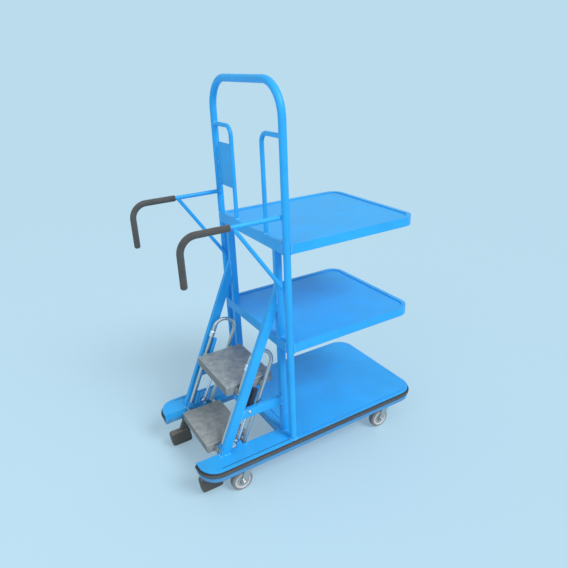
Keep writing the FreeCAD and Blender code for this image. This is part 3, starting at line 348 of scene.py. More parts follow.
def dust_effect():
    """Dust that lies on upward faces, and a band that thickens from one level down to another: dirt in most
    finishes, painted shade on the frame's strip under the bumper.
    """
    group, given, result = effect(
        "dust", (("Lying", 0.35), ("Amount", 0.5), ("Reach", 0.3), ("Full", 0.0)),
        (("Mask", "NodeSocketFloat"),))
    upward = spread(group, one_axis(group, face_normal(group), "Z"), 0.35, 0.95)
    place = local_place(group)
    depth = spread(group, one_axis(group, place, "Z"), given.outputs["Reach"], given.outputs["Full"])
    cloud = noise(group, place, 17.0, 5.0, 0.65)
    lying = times(group, times(group, upward, given.outputs["Lying"]), spread(group, cloud, 0.36, 0.72))
    patchy = spread(group, cloud, *NOISE_SPAN, 0.45, 1.0)
    low = times(group, times(group, depth, given.outputs["Amount"]), patchy)
    feed(group, result.inputs["Mask"], calc(group, "MAXIMUM", lying, low, clamp=True))
    return group


EFFECT_MAKERS = {"edge_wear": edge_wear_effect, "mottle": mottle_effect,
                 "scuffs": scuff_effect, "dust": dust_effect}
EFFECTS = {}


def use(tree, name, **values):
    """Places a shared effect in a material with its own values."""
    if name not in EFFECTS:
        EFFECTS[name] = EFFECT_MAKERS[name]()
    item = add(tree, "ShaderNodeGroup", node_tree=EFFECTS[name])
    for label, value in values.items():
        feed(tree, item.inputs[label.replace("_", " ")], value)
    return item.outputs


def surface(name):
    """A new material; returns it with its tree and its main shader."""
    material = bpy.data.materials.new(name)
    material.use_nodes = True
    tree = material.node_tree
    shader = next(n for n in tree.nodes if n.type == "BSDF_PRINCIPLED")
    return material, tree, shader


def relief(tree, shader, height, strength, distance, normal=None):
    bump = add(tree, "ShaderNodeBump")
    bump.inputs["Strength"].default_value = strength
    bump.inputs["Distance"].default_value = distance
    feed(tree, bump.inputs["Height"], height)
    if normal is not None:
        feed(tree, bump.inputs["Normal"], normal)
    feed(tree, shader.inputs["Normal"], bump.outputs["Normal"])


def scaled(colour, factor):
    return tuple(min(1.0, channel * factor) for channel in colour)


def shades(tree, value, colour, dark, light, span=NOISE_SPAN):
    """Varies a colour between a darker and a lighter shade of itself."""
    return tint(tree, spread(tree, value, *span), scaled(colour, dark), scaled(colour, light))


def frame_paint(finish):
    """Sky blue paint: cloudy, scuffed, dusty on upward faces, chipped along its edges, with painted shade on
    the low strip under the bumper.
    """
    material, tree, shader = surface("frame_blue_paint")
    cloud = use(tree, "mottle", Scale=6.0, Grain_scale=520.0)
    worn = use(tree, "edge_wear", Radius=0.0022, Scale=70.0, Amount=finish.wear)
    scuffs = use(tree, "scuffs", Scale=9.0, Amount=0.45)["Mask"]
    # The band from Reach down to Full is painted shade on the frame's strip under the bumper; the part on
    # upward faces is dust.
    dust = use(tree, "dust", Lying=0.14, Amount=0.95, Reach=0.176, Full=0.164)["Mask"]
    base = shades(tree, cloud["Broad"], finish.blue, 0.90, 1.06)
    scraped = tint(tree, times(tree, scuffs, 0.25), base, SCRAPED_BLUE)
    dusty_and_shaded = tint(tree, dust, scraped, DUST_AND_SHADE_BLUE)
    bare = times(tree, worn["Mask"], 0.85)
    feed(tree, shader.inputs["Base Color"], tint(tree, bare, dusty_and_shaded, finish.chip))
    rough = spread(tree, cloud["Broad"], *NOISE_SPAN, 0.30, 0.42)
    feed(tree, shader.inputs["Roughness"], calc(tree, "ADD", rough, times(tree, dust, 0.3), clamp=True))
    feed(tree, shader.inputs["Metallic"], times(tree, bare, 0.6))
    height = calc(tree, "SUBTRACT", times(tree, cloud["Grain"], 0.35), worn["Mask"])
    relief(tree, shader, height, 0.22, 0.0006, worn["Normal"])
    shader.inputs["Specular IOR Level"].default_value = 0.32
    return material


def tread_metal(finish, name, rubbed):
    """Grey painted tread plate, mottled with dirt, with painted shade on faces that look to the front; a
    rubbed one has bright lips.
    """
    material, tree, shader = surface(name)
    cloud = use(tree, "mottle", Scale=34.0, Grain_scale=650.0)
    scuffs = use(tree, "scuffs", Scale=26.0, Amount=0.6)["Mask"]
    base = shades(tree, cloud["Broad"], finish.tread, 0.78, 1.22, (0.34, 0.68))
    specked = tint(tree, times(tree, cloud["Specks"], 0.45), base, scaled(finish.tread, 1.8))
    scraped = tint(tree, times(tree, scuffs, 0.3), specked, SCRAPED_GREY)
    # Painted shade: faces turned towards -X are darkened.
    front_shade = spread(tree, one_axis(tree, face_normal(tree), "X"), -0.3, -0.8, 0.0, 0.65)
    colour = tint(tree, front_shade, scraped, FRONT_SHADE_GREY)
    normal = None
    if rubbed:
        worn = use(tree, "edge_wear", Radius=0.0045, Scale=55.0, Amount=1.0)
        colour = tint(tree, worn["Mask"], colour, RUBBED_GREY)
        feed(tree, shader.inputs["Metallic"], times(tree, worn["Mask"], 0.5))
        normal = worn["Normal"]
    feed(tree, shader.inputs["Base Color"], colour)
    feed(tree, shader.inputs["Roughness"], spread(tree, cloud["Broad"], *NOISE_SPAN, 0.52, 0.70))
    relief(tree, shader, cloud["Grain"], 0.25, 0.0006, normal)
    return material


def plated(name, colour, rough, spangle, wear_colour):
    """Bright plating: chrome when the spangle is faint, zinc when it is strong."""
    material, tree, shader = surface(name)
    cloud = use(tree, "mottle", Scale=30.0, Grain_scale=700.0)
    worn = use(tree, "edge_wear", Radius=0.001, Scale=90.0, Amount=0.35)
    dust = use(tree, "dust", Lying=0.25, Amount=0.35, Reach=0.12)["Mask"]
    base = tint(tree, times(tree, cloud["Broad"], spangle), colour, scaled(colour, 0.55))
    spotted = tint(tree, times(tree, cloud["Specks"], spangle * 0.5), base, wear_colour)
    feed(tree, shader.inputs["Base Color"], tint(tree, dust, spotted, PLATING_DUST))
    shine = spread(tree, cloud["Broad"], *NOISE_SPAN, rough, rough + 0.08 + 0.12 * spangle)
    feed(tree, shader.inputs["Roughness"], calc(tree, "ADD", shine, times(tree, dust, 0.35), clamp=True))
    feed(tree, shader.inputs["Metallic"], calc(tree, "SUBTRACT", 1.0, times(tree, dust, 0.6)))
    relief(tree, shader, cloud["Grain"], 0.08 + 0.12 * spangle, 0.0003, worn["Normal"])
    return material


def moulded(name, colour, rough, grain_scale, grain_depth, dusty, dust_colour=DUST,
            lying=0.2, edge=0.002, sheen=0.0):
    """Rubber, foam and plastic: grained, uneven in colour, dusty low down and rubbed on its edges."""
    material, tree, shader = surface(name)
    cloud = use(tree, "mottle", Scale=14.0, Grain_scale=grain_scale)
    worn = use(tree, "edge_wear", Radius=edge, Scale=80.0, Amount=0.6)
    dust = use(tree, "dust", Lying=lying, Amount=dusty, Reach=0.24)["Mask"]
    base = shades(tree, cloud["Broad"], colour, 0.75, 1.3)
    grained = tint(tree, times(tree, cloud["Specks"], 0.25), base, scaled(colour, 1.9))
    rubbed = tint(tree, times(tree, worn["Mask"], 0.45), grained, scaled(colour, 2.6))
    feed(tree, shader.inputs["Base Color"], tint(tree, dust, rubbed, dust_colour))
    uneven = spread(tree, cloud["Broad"], *NOISE_SPAN, rough - 0.07, rough + 0.07)
    feed(tree, shader.inputs["Roughness"], uneven)
    relief(tree, shader, cloud["Grain"], 0.55, grain_depth, worn["Normal"])
    shader.inputs["Sheen Weight"].default_value = sheen
    shader.inputs["Sheen Roughness"].default_value = 0.5
    return material


def bumper_strip(finish):
    """Bumper rubber: rubbed grey along its middle, with painted shade darkening both edges where it meets
    the rim.
    """
    low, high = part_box("bumper")
    material, tree, shader = surface("bumper_rubber")
    cloud = use(tree, "mottle", Scale=14.0, Grain_scale=420.0)
    scuffs = use(tree, "scuffs", Scale=16.0, Amount=0.6)["Mask"]
    level = one_axis(tree, local_place(tree), "Z")
    away = calc(tree, "ABSOLUTE", calc(tree, "SUBTRACT", level, middle("bumper", 2)))
    # Painted shade along the top and bottom edges of the strip.
    edge = spread(tree, away, (high.z - low.z) * 0.20, (high.z - low.z) * 0.36)
    base = shades(tree, cloud["Broad"], finish.rubber, 0.75, 1.3)
    scraped = tint(tree, times(tree, scuffs, 0.4), base, scaled(finish.rubber, 2.4))
    feed(tree, shader.inputs["Base Color"], tint(tree, edge, scraped, scaled(finish.rubber, 0.22)))
    feed(tree, shader.inputs["Roughness"], spread(tree, cloud["Broad"], *NOISE_SPAN, 0.52, 0.68))
    relief(tree, shader, cloud["Grain"], 0.5, 0.0004)
    return material


def weld_highlight_paint(finish):
    """The frame's paint over the welds: glossy, with paler patches that are a painted highlight."""
    material, tree, shader = surface("weld_blue_paint_highlit")
    cloud = use(tree, "mottle", Scale=60.0, Grain_scale=700.0)
    # A paler blue painted on as highlight.
    highlight_blue = tuple(min(1.0, channel + 0.22) for channel in finish.blue)
    base = tint(tree, spread(tree, cloud["Broad"], 0.4, 0.7), finish.blue, highlight_blue)
    feed(tree, shader.inputs["Base Color"], base)
    feed(tree, shader.inputs["Roughness"], spread(tree, cloud["Grain"], *NOISE_SPAN, 0.16, 0.30))
    relief(tree, shader, cloud["Grain"], 0.2, 0.0004)
    return material


MATERIALS = {}


def make_materials(finish):
    """One material for each of the record's slots, and a few for single pieces."""
    MATERIALS.update({
        "blue_paint": frame_paint(finish),
        "weld_highlight_paint": weld_highlight_paint(finish),
        "tread_grey": tread_metal(finish, "tread_grey_plate", rubbed=True),
        "tread_lozenges": tread_metal(finish, "tread_lozenge_grey", rubbed=False),
        "chrome_plate": plated("satin_chrome", (0.66, 0.645, 0.63), 0.34, 0.25, (0.46, 0.44, 0.40)),
        "bright_chrome": plated("bright_chrome", (0.88, 0.89, 0.90), 0.10, 0.1, (0.60, 0.58, 0.54)),
        "zinc_plate": plated("zinc_plating", (0.62, 0.63, 0.62), 0.27, 0.6, (0.45, 0.43, 0.38)),
        "bumper_rubber": bumper_strip(finish),
        # A near-black bead that paints the shade in the open joint along each leg.
        "joint_shade_line": moulded("joint_painted_shade", (0.008, 0.016, 0.030), 0.6, 500.0, 0.0002, 0.1),
        "grip_foam": moulded("grip_foam", finish.grip, 0.82, 260.0, 0.0009, 0.2, (0.10, 0.098, 0.094),
                             sheen=0.25),
        "strut_black": moulded("strut_black_enamel", (0.018, 0.026, 0.040), 0.36, 600.0, 0.0002, 0.3),
        "nylon_block": moulded("guide_block_nylon", (0.022, 0.27, 0.66), 0.5, 500.0, 0.0003, 0.1),
        # The foot's strong dust on upward faces and wide rubbed edges are partly dust and wear and partly a
        # painted highlight on its top and edges.
        "foot_rubber": moulded("foot_rubber", finish.foot, 0.50, 300.0, 0.0007, 0.08, (0.27, 0.25, 0.23),
                               lying=1.3, edge=0.011),
        "wheel_rim": moulded("wheel_rim_plastic", (0.66, 0.65, 0.65), 0.45, 500.0, 0.0002, 0.2,
                             (0.45, 0.44, 0.43)),
        "wheel_core": moulded("wheel_core_plastic", (0.40, 0.385, 0.385), 0.48, 500.0, 0.0002, 0.35,
                              (0.22, 0.21, 0.2)),
        "tyre_grey": moulded("tyre_rubber", finish.tyre, 0.7, 380.0, 0.0004, 0.5, (0.13, 0.125, 0.12)),
    })


# Small helpers for pieces
def settle(piece, body, slot):
    """Puts a finished piece on its body and gives it the slot's finish."""
    if not piece.data.materials:
        piece.data.materials.append(MATERIALS[slot])
    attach(piece, body)
    return piece


def piece_from(name, mesh, smooth=True):
    piece = bpy.data.objects.new(name, mesh)
    bpy.context.scene.collection.objects.link(piece)
    if smooth:
        mesh.shade_smooth()
        mesh.set_sharp_from_angle(angle=SMOOTH_ANGLE)
    return piece


def lathe(name, profile, places, segments):
    """Closed rings or caps turned from (radius, height) points about the local Z axis of each place."""
    mesh = bpy.data.meshes.new(name)
    form = bmesh.new()
    for spot in places:
        rows = []
        for step in range(segments):
            angle = 2 * math.pi * step / segments
            spin = Vector((math.cos(angle), math.sin(angle), 0))
            points = [spin * radius + Vector((0, 0, height)) for radius, height in profile]
            rows.append([form.verts.new(spot @ point) for point in points])
        for step, row in enumerate(rows):
            after = rows[(step + 1) % segments]
            for k in range(len(profile)):
                j = (k + 1) % len(profile)
                form.faces.new((row[k], after[k], after[j], row[j]))
    bmesh.ops.remove_doubles(form, verts=form.verts, dist=1e-6)
    bmesh.ops.dissolve_degenerate(form, edges=form.edges, dist=1e-7)
    bmesh.ops.recalc_face_normals(form, faces=form.faces)
    form.to_mesh(mesh)
    form.free()
    return piece_from(name, mesh)


def nodes_tree(name, inputs):
    """A geometry tree with named inputs; returns it with its two end nodes."""
    tree = bpy.data.node_groups.new(name, "GeometryNodeTree")
    tree.interface.new_socket(name="Geometry", in_out="INPUT", socket_type="NodeSocketGeometry")
    for label, kind in inputs:
        tree.interface.new_socket(name=label, in_out="INPUT", socket_type=kind)
    tree.interface.new_socket(name="Geometry", in_out="OUTPUT", socket_type="NodeSocketGeometry")
    return tree, add(tree, "NodeGroupInput"), add(tree, "NodeGroupOutput")


def close_tree(tree, given, result, instances):
    """Ends a tree in Realize Instances and Set Material."""
    real = add(tree, "GeometryNodeRealizeInstances")
    paint = add(tree, "GeometryNodeSetMaterial")
    feed(tree, real.inputs["Geometry"], instances)
    feed(tree, paint.inputs["Geometry"], real.outputs["Geometry"])
    feed(tree, paint.inputs["Material"], given.outputs["Material"])
    feed(tree, result.inputs["Geometry"], paint.outputs["Geometry"])


def grow(name, seed_mesh, tree, **values):
    """Runs a geometry tree on a seed mesh and keeps the result as a plain mesh."""
    carrier = bpy.data.objects.new(name + "_seed", seed_mesh)
    bpy.context.scene.collection.objects.link(carrier)
    modifier = carrier.modifiers.new("make", "NODES")
    modifier.node_group = tree
    labels = {item.name: item.identifier for item in tree.interface.items_tree if item.in_out == "INPUT"}
    for label, value in values.items():
        modifier[labels[label.replace("_", " ")]] = value
    graph = bpy.context.evaluated_depsgraph_get()
    mesh = bpy.data.meshes.new_from_object(carrier.evaluated_get(graph), depsgraph=graph)
    mesh.name = name
    bpy.data.objects.remove(carrier)
    if not mesh.polygons:
        raise RuntimeError(f"{name} came out empty")
    return piece_from(name, mesh)


def spots_mesh(name, spots):
    """Points with the way that each one faces."""
    mesh = bpy.data.meshes.new(name)
    mesh.from_pydata([place for place, _ in spots], [], [])
    facing = mesh.attributes.new("facing", "FLOAT_VECTOR", "POINT")
    for item, (_, way) in zip(facing.data, spots):
        item.vector = way
    return mesh


def tread_tree():
    """Raised lozenges in alternating directions on a grid."""
    tree, given, result = nodes_tree("tread_lozenges", (
        ("Width", "NodeSocketFloat"), ("Depth", "NodeSocketFloat"), ("Rows", "NodeSocketInt"),
        ("Columns", "NodeSocketInt"), ("Length", "NodeSocketFloat"), ("Rise", "NodeSocketFloat"),
        ("Place", "NodeSocketVector"), ("Material", "NodeSocketMaterial")))
    grid = add(tree, "GeometryNodeMeshGrid")
    sources = {"Size X": "Depth", "Size Y": "Width", "Vertices X": "Rows", "Vertices Y": "Columns"}
    for label, source in sources.items():
        feed(tree, grid.inputs[label], given.outputs[source])
    moved = add(tree, "GeometryNodeTransform")
    feed(tree, moved.inputs["Geometry"], grid.outputs["Mesh"])
    feed(tree, moved.inputs["Translation"], given.outputs["Place"])
    seed = add(tree, "GeometryNodeMeshUVSphere")
    seed.inputs["Segments"].default_value = 10
    seed.inputs["Rings"].default_value = 6
    seed.inputs["Radius"].default_value = 1.0
    half = times(tree, given.outputs["Length"], 0.5)
    size = add(tree, "ShaderNodeCombineXYZ")
    feed(tree, size.inputs["X"], half)
    feed(tree, size.inputs["Y"], times(tree, half, 0.30))
    feed(tree, size.inputs["Z"], given.outputs["Rise"])
    shaped = add(tree, "GeometryNodeTransform")
    feed(tree, shaped.inputs["Geometry"], seed.outputs["Mesh"])
    feed(tree, shaped.inputs["Scale"], size.outputs["Vector"])
    index = add(tree, "GeometryNodeInputIndex").outputs["Index"]
    row = calc(tree, "FLOOR", calc(tree, "DIVIDE", index, given.outputs["Columns"]))
    column = calc(tree, "MODULO", index, given.outputs["Columns"])
    turn = times(tree, calc(tree, "MODULO", calc(tree, "ADD", row, column), 2.0), math.pi / 2)
    angle = add(tree, "ShaderNodeCombineXYZ")
    feed(tree, angle.inputs["Z"], calc(tree, "ADD", turn, math.pi / 4))
    placed = add(tree, "GeometryNodeInstanceOnPoints")
    feed(tree, placed.inputs["Points"], moved.outputs["Geometry"])
    feed(tree, placed.inputs["Instance"], shaped.outputs["Geometry"])
    feed(tree, placed.inputs["Rotation"], angle.outputs["Vector"])
    close_tree(tree, given, result, placed.outputs["Instances"])
    return tree


def bolt_tree():
    """Hexagon heads with a round washer and a domed crown, standing on points."""
    tree, given, result = nodes_tree("hex_bolts", (
        ("Flats", "NodeSocketFloat"), ("Material", "NodeSocketMaterial")))
    flats = given.outputs["Flats"]
    forms = add(tree, "GeometryNodeJoinGeometry")
    # Head, washer, chamfer and crown: corners, then radii, depth and level as shares of the flats
    stack_shares = ((6, 0.577, 0.577, 0.42, 0.14), (24, 0.80, 0.80, 0.14, 0.0),
                    (6, 0.577, 0.46, 0.10, 0.56), (12, 0.30, 0.22, 0.09, 0.64))
    for count, low, high, tall, base in stack_shares:
        drum = add(tree, "GeometryNodeMeshCone")
        drum.inputs["Vertices"].default_value = count
        feed(tree, drum.inputs["Radius Bottom"], times(tree, flats, low))
        feed(tree, drum.inputs["Radius Top"], times(tree, flats, high))
        feed(tree, drum.inputs["Depth"], times(tree, flats, tall))
        raise_by = add(tree, "ShaderNodeCombineXYZ")
        feed(tree, raise_by.inputs["Z"], times(tree, flats, base))
        lifted = add(tree, "GeometryNodeTransform")
        feed(tree, lifted.inputs["Geometry"], drum.outputs["Mesh"])
        feed(tree, lifted.inputs["Translation"], raise_by.outputs["Vector"])
        tree.links.new(lifted.outputs["Geometry"], forms.inputs["Geometry"])
    facing = add(tree, "GeometryNodeInputNamedAttribute", data_type="FLOAT_VECTOR")
    facing.inputs["Name"].default_value = "facing"
    turned = add(tree, "FunctionNodeAlignRotationToVector", axis="Z")
    feed(tree, turned.inputs["Vector"], facing.outputs["Attribute"])
    placed = add(tree, "GeometryNodeInstanceOnPoints")
    feed(tree, placed.inputs["Points"], given.outputs["Geometry"])
    feed(tree, placed.inputs["Instance"], forms.outputs["Geometry"])
    feed(tree, placed.inputs["Rotation"], turned.outputs["Rotation"])
    close_tree(tree, given, result, placed.outputs["Instances"])
    return tree


def weld_tree():
    """A rippled bead along every line of the seed mesh."""
    tree, given, result = nodes_tree("weld_beads", (
        ("Radius", "NodeSocketFloat"), ("Ripple", "NodeSocketFloat"), ("Material", "NodeSocketMaterial")))
    lines = add(tree, "GeometryNodeMeshToCurve")
    feed(tree, lines.inputs["Mesh"], given.outputs["Geometry"])
    even = add(tree, "GeometryNodeResampleCurve", mode="LENGTH")
    feed(tree, even.inputs["Curve"], lines.outputs["Curve"])
    feed(tree, even.inputs["Length"], times(tree, given.outputs["Radius"], 1.1))
    ring = add(tree, "GeometryNodeCurvePrimitiveCircle")
    ring.inputs["Resolution"].default_value = 8
    feed(tree, ring.inputs["Radius"], given.outputs["Radius"])
    bead = add(tree, "GeometryNodeCurveToMesh")
    feed(tree, bead.inputs["Curve"], even.outputs["Curve"])
    feed(tree, bead.inputs["Profile Curve"], ring.outputs["Curve"])
    place = add(tree, "GeometryNodeInputPosition").outputs["Position"]
    lumps = calc(tree, "SUBTRACT", noise(tree, place, 260.0, 1.0), 0.5)
    push = add(tree, "ShaderNodeVectorMath", operation="SCALE")
    feed(tree, push.inputs[0], add(tree, "GeometryNodeInputNormal").outputs["Normal"])
    feed(tree, push.inputs["Scale"], times(tree, lumps, given.outputs["Ripple"]))
    rough = add(tree, "GeometryNodeSetPosition")
    feed(tree, rough.inputs["Geometry"], bead.outputs["Mesh"])
    feed(tree, rough.inputs["Offset"], push.outputs["Vector"])
    close_tree(tree, given, result, rough.outputs["Geometry"])
    return tree


# The lines that the welds follow
def loop_round(centre, normal, radius, count=28):
    turn = Vector((0, 0, 1)).rotation_difference(Vector(normal)).to_matrix()
    angles = [2 * math.pi * step / count for step in range(count)]
    spots = [Vector((math.cos(angle) * radius, math.sin(angle) * radius, 0)) for angle in angles]
    return [Vector(centre) + turn @ spot for spot in spots]


def loop_box(low, high, flat):
    """The outline of a box's middle section, square to one axis."""
    a, b = [axis for axis in range(3) if axis != flat]
    corners = []
    for u, v in ((0, 0), (1, 0), (1, 1), (0, 1)):
        spot = [0, 0, 0]
        spot[a] = (low[a], high[a])[u]
        spot[b] = (low[b], high[b])[v]
        spot[flat] = (low[flat] + high[flat]) / 2
        corners.append(Vector(spot))
    return corners


def upright_welds(name, side, tube, line):
    """Beads of the cross rails, shelf rails, grab rail and horn on one upright."""
    loops = []
    seat = {piece: tube * share for piece, share in SEAT_SHARES.items()}
    for level in ("lower", "upper"):
        low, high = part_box(f"{level}_cross_rail")
        y = side * (line - seat["cross_rail"])
        loops.append(loop_box((UPRIGHT_X - tube, y, low.z), (UPRIGHT_X + tube, y, high.z), 1))
        low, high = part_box(f"{level}_shelf_rail")
        inner, outer = sorted((side * (high.y - SHELF_TUBE), side * high.y))
        x = UPRIGHT_X + seat["shelf_rail"]
        loops.append(loop_box((x, inner, low.z), (x, outer, high.z), 0))
    low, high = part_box(f"grab_rail_{name}")
    slim = (high.x - low.x) / 2
    inner = side * (min(abs(low.y), abs(high.y)) + slim)
    loops.append(loop_round((UPRIGHT_X, inner, low.z), (0, 0, 1), slim))
    loops.append(loop_round((UPRIGHT_X, side * (line - seat["grab_rail"]), high.z - slim), (0, 1, 0), slim))
    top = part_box(f"horn_{name}")[1].z - slim
    loops.append(loop_round((UPRIGHT_X - seat["horn"], middle(f"horn_{name}", 1), top), (1, 0, 0), slim))
    return loops


def side_frame_welds(name, tube, deck):
    """Beads of one side frame: diagonal, posts and brace; then the one at the diagonal's foot."""
    low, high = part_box(f"diagonal_{name}")
    reach = DIAGONAL_TUBE / math.cos(STEP_TILT)
    slope = math.tan(STEP_TILT)
    foot = loop_box((low.x, low.y, deck), (low.x + reach, high.y, deck), 2)
    loops = [loop_box((high.x, low.y, high.z - reach / slope), (high.x, high.y, high.z), 0)]
    lower, upper = (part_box(f"{level}_cross_rail") for level in ("lower", "upper"))
    for z in (deck, lower[0].z, lower[1].z, upper[0].z):
        loops.append(loop_box((UPRIGHT_X - tube, low.y, z), (UPRIGHT_X + tube, high.y, z), 2))
    bottom, top = (corner.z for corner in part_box("braces"))
    loops.append(loop_box((high.x, low.y, bottom), (high.x, high.y, top), 0))
    edge = {z: low.x + reach + (z - deck) * slope for z in (bottom, top)}
    corners = ((low.y, bottom), (high.y, bottom), (high.y, top), (low.y, top))
    loops.append([Vector((edge[z], y, z)) for y, z in corners])
    return loops, foot


def weld_loops():
    """The beads where tubes and the side plate meet, and the larger ones at the feet on the legs."""
    hoop_low, hoop_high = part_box("main_hoop")
    tube = (hoop_high.x - hoop_low.x) / 2
    line, deck = hoop_high.y - tube, hoop_low.z
    loops, feet = [], []
    for name, side in SIDES.items():
        feet.append(loop_round((UPRIGHT_X, side * line, deck), (0, 0, 1), tube))
        loops += upright_welds(name, side, tube, line)
        beads, foot = side_frame_welds(name, tube, deck)
        loops += beads
        feet.append(foot)
    low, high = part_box("side_plate")
    loops += [loop_box((low.x, y, low.z), (high.x, y, high.z), 1) for y in (low.y, high.y)]
    return loops, feet


def leg_lines():
    """The open joint between each leg's top and the rim, from the upright to where the rim bends, where a
    dark bead paints its shade.
    """
    lines = []
    for name, side in SIDES.items():
        low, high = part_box(f"leg_{name}")
        y = side * max(abs(low.y), abs(high.y))
        lines.append([Vector((x, y, high.z)) for x in (UPRIGHT_X - LEG_JOINT_START, low.x + LEG_BEND)])
    return lines


def lines_mesh(name, lines, closed):
    """A seed mesh of open or closed lines."""
    verts, edges = [], []
    for line in lines:
        first, count = len(verts), len(line)
        verts.extend(line)
        edges.extend((first + i, first + (i + 1) % count) for i in range(count if closed else count - 1))
    mesh = bpy.data.meshes.new(name + "_lines")
    mesh.from_pydata(verts, edges, [])
    return mesh


# Operators, one for each group of pieces
class TROLLEY_OT_finishes(bpy.types.Operator):
    """Give every CAD node its finish."""

    bl_idname = "trolley.finishes"
    bl_label = "Finishes"

    def execute(self, context):
        make_materials(context.scene.trolley_finish)
        for entry in RECORD["subparts"]:
            mesh = frame["nodes"][entry["node"]].data
            mesh.materials.clear()
            mesh.materials.append(MATERIALS[OWN_FINISH.get(entry["node"], entry["material_slot"])])
        return {"FINISHED"}


class TROLLEY_OT_tread_plate(bpy.types.Operator):
    """Raise the lozenge pattern on both treads."""

    bl_idname = "trolley.tread_plate"
    bl_label = "Tread plate"

    def execute(self, context):
        detail = context.scene.trolley_detail
        tree = tread_tree()
        for name in ("upper_tread", "lower_tread"):
            low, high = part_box(name)
            pitch = detail.lozenge_pitch
            depth, width = (high[axis] - low[axis] - 2 * pitch for axis in (0, 1))
            plate = grow(f"{name}_lozenges", bpy.data.meshes.new(f"{name}_seed"), tree,
                         Width=width, Columns=round(width / pitch) + 1,
                         Depth=depth, Rows=round(depth / pitch) + 1,
                         Length=detail.lozenge_length, Rise=detail.lozenge_rise,
                         Place=(middle(name, 0), middle(name, 1), high.z),
                         Material=MATERIALS["tread_lozenges"])
            settle(plate, "step_unit", "tread_grey")
        return {"FINISHED"}


class TROLLEY_OT_welds(bpy.types.Operator):
    """Lay weld beads, and dark beads that paint the shade in the legs' joints."""

    bl_idname = "trolley.welds"
    bl_label = "Welds"

    def execute(self, context):
        detail = context.scene.trolley_detail
        tree = weld_tree()
        loops, feet = weld_loops()
        for name, lines, closed, size_share, ripple_share, finish, slot in (
                ("weld_beads", loops, True, 1.0, 1.2, "weld_highlight_paint", "blue_paint"),
                ("foot_welds", feet, True, 1.7, 1.2, "weld_highlight_paint", "blue_paint"),
                ("leg_joint_shade_lines", leg_lines(), False, 0.55, 0.2, "joint_shade_line", "strut_black")):
            radius = detail.bead * size_share
            beads = grow(name, lines_mesh(name, lines, closed), tree, Radius=radius,
                         Ripple=radius * ripple_share, Material=MATERIALS[finish])
            settle(beads, "root", slot)
        return {"FINISHED"}


class TROLLEY_OT_fasteners(bpy.types.Operator):
    """Set hexagon bolts on the treads, braces, caster plates and axles."""

    bl_idname = "trolley.fasteners"
    bl_label = "Fasteners"

    def execute(self, context):
        tree = bolt_tree()
        spots = []
        for tread in ("upper_tread", "lower_tread"):
            along = middle(tread, 2) / math.cos(STEP_TILT)
            for side in SIDES.values():
                spot = Vector((0, side * (STEP_HALF + STRINGER - TREAD_BOLT_SINK), along))
                spots.append((STEP_FRAME @ spot, (0, side, 0)))
        self.bolts("tread_bolts", tree, spots, context.scene.trolley_detail.bolt, "step_unit")
        x, z = UPRIGHT_X - BRACE_BOLT_BACK, middle("braces", 2) + BRACE_BOLT_RISE
        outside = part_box("braces")[1].y
        spots = [(Vector((x, side * outside, z)), (0, side, 0)) for side in SIDES.values()]
        self.bolts("brace_bolts", tree, spots, BRACE_BOLT, "root")
        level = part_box("caster_bolts")[0].z + PLATE_BOLT_SINK
        corners = [(x, y) for x in (-1, 1) for y in (-1, 1)]
        spots = []
        for caster in CASTERS:
            pin = KINGPINS[caster]
            places = [(pin.x + x * PLATE_BOLT_HALF[0], pin.y + y * PLATE_BOLT_HALF[1]) for x, y in corners]
            spots += [(Vector((*place, level)), (0, 0, -1)) for place in places]
        heads = self.bolts("caster_plate_bolts", tree, spots, PLATE_BOLT, "root")
        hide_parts("caster_bolts")
        for caster in CASTERS:
            low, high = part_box(f"axle_{caster}")
            x, z = middle(f"axle_{caster}", 0), middle(f"axle_{caster}", 2)
            spots = [(Vector((x, high.y - AXLE_NUT_SINK, z)), (0, 1, 0)),
                     (Vector((x, low.y + AXLE_NUT_SINK, z)), (0, -1, 0))]
            self.bolts(f"axle_nuts_{caster}", tree, spots, AXLE_NUT, f"swivel_{caster}")
        return {"FINISHED"}

    def bolts(self, name, tree, spots, flats, body):
        seeds = spots_mesh(f"{name}_spots", spots)
        heads = grow(name, seeds, tree, Flats=flats, Material=MATERIALS["zinc_plate"])
        return settle(heads, body, "zinc_plate")


class TROLLEY_OT_wheels(bpy.types.Operator):
    """Add rim rings and bearing covers to the wheels and dust rings to the swivels."""

    bl_idname = "trolley.wheels"
    bl_label = "Wheels"

    def execute(self, context):
        rim = [(0.0300, 0.0136), (0.0308, 0.0148), (0.0330, 0.0154), (0.0360, 0.0154), (0.0378, 0.0148),
               (0.0381, 0.0136)]
        cover = [(0.0160, 0.0136), (0.0162, 0.0152), (0.0195, 0.0157), (0.0225, 0.0151), (0.0232, 0.0136)]
        race = [(0.0272, 0.0004), (0.0290, 0.0012), (0.0298, 0.0034), (0.0290, 0.0060), (0.0272, 0.0072)]
        rings = []
        for caster in CASTERS:
            low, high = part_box(f"tyre_{caster}")
            hub = Matrix.Translation((low + high) / 2)
            faces = [hub @ Matrix.Rotation(-side * math.pi / 2, 4, "X") for side in SIDES.values()]
            rims = lathe(f"wheel_rims_{caster}", rim, faces, 48)
            rims.data.materials.append(MATERIALS["wheel_rim"])
            settle(rims, f"wheel_{caster}", "wheel_core")
            settle(lathe(f"bearing_covers_{caster}", cover, faces, 40), f"wheel_{caster}", "zinc_plate")
            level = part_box(f"fork_{caster}")[1].z + DUST_RING_GAP
            rings.append(Matrix.Translation((*KINGPINS[caster].xy, level)))
        settle(lathe("swivel_dust_rings", race, rings, 44), "root", "zinc_plate")
        return {"FINISHED"}


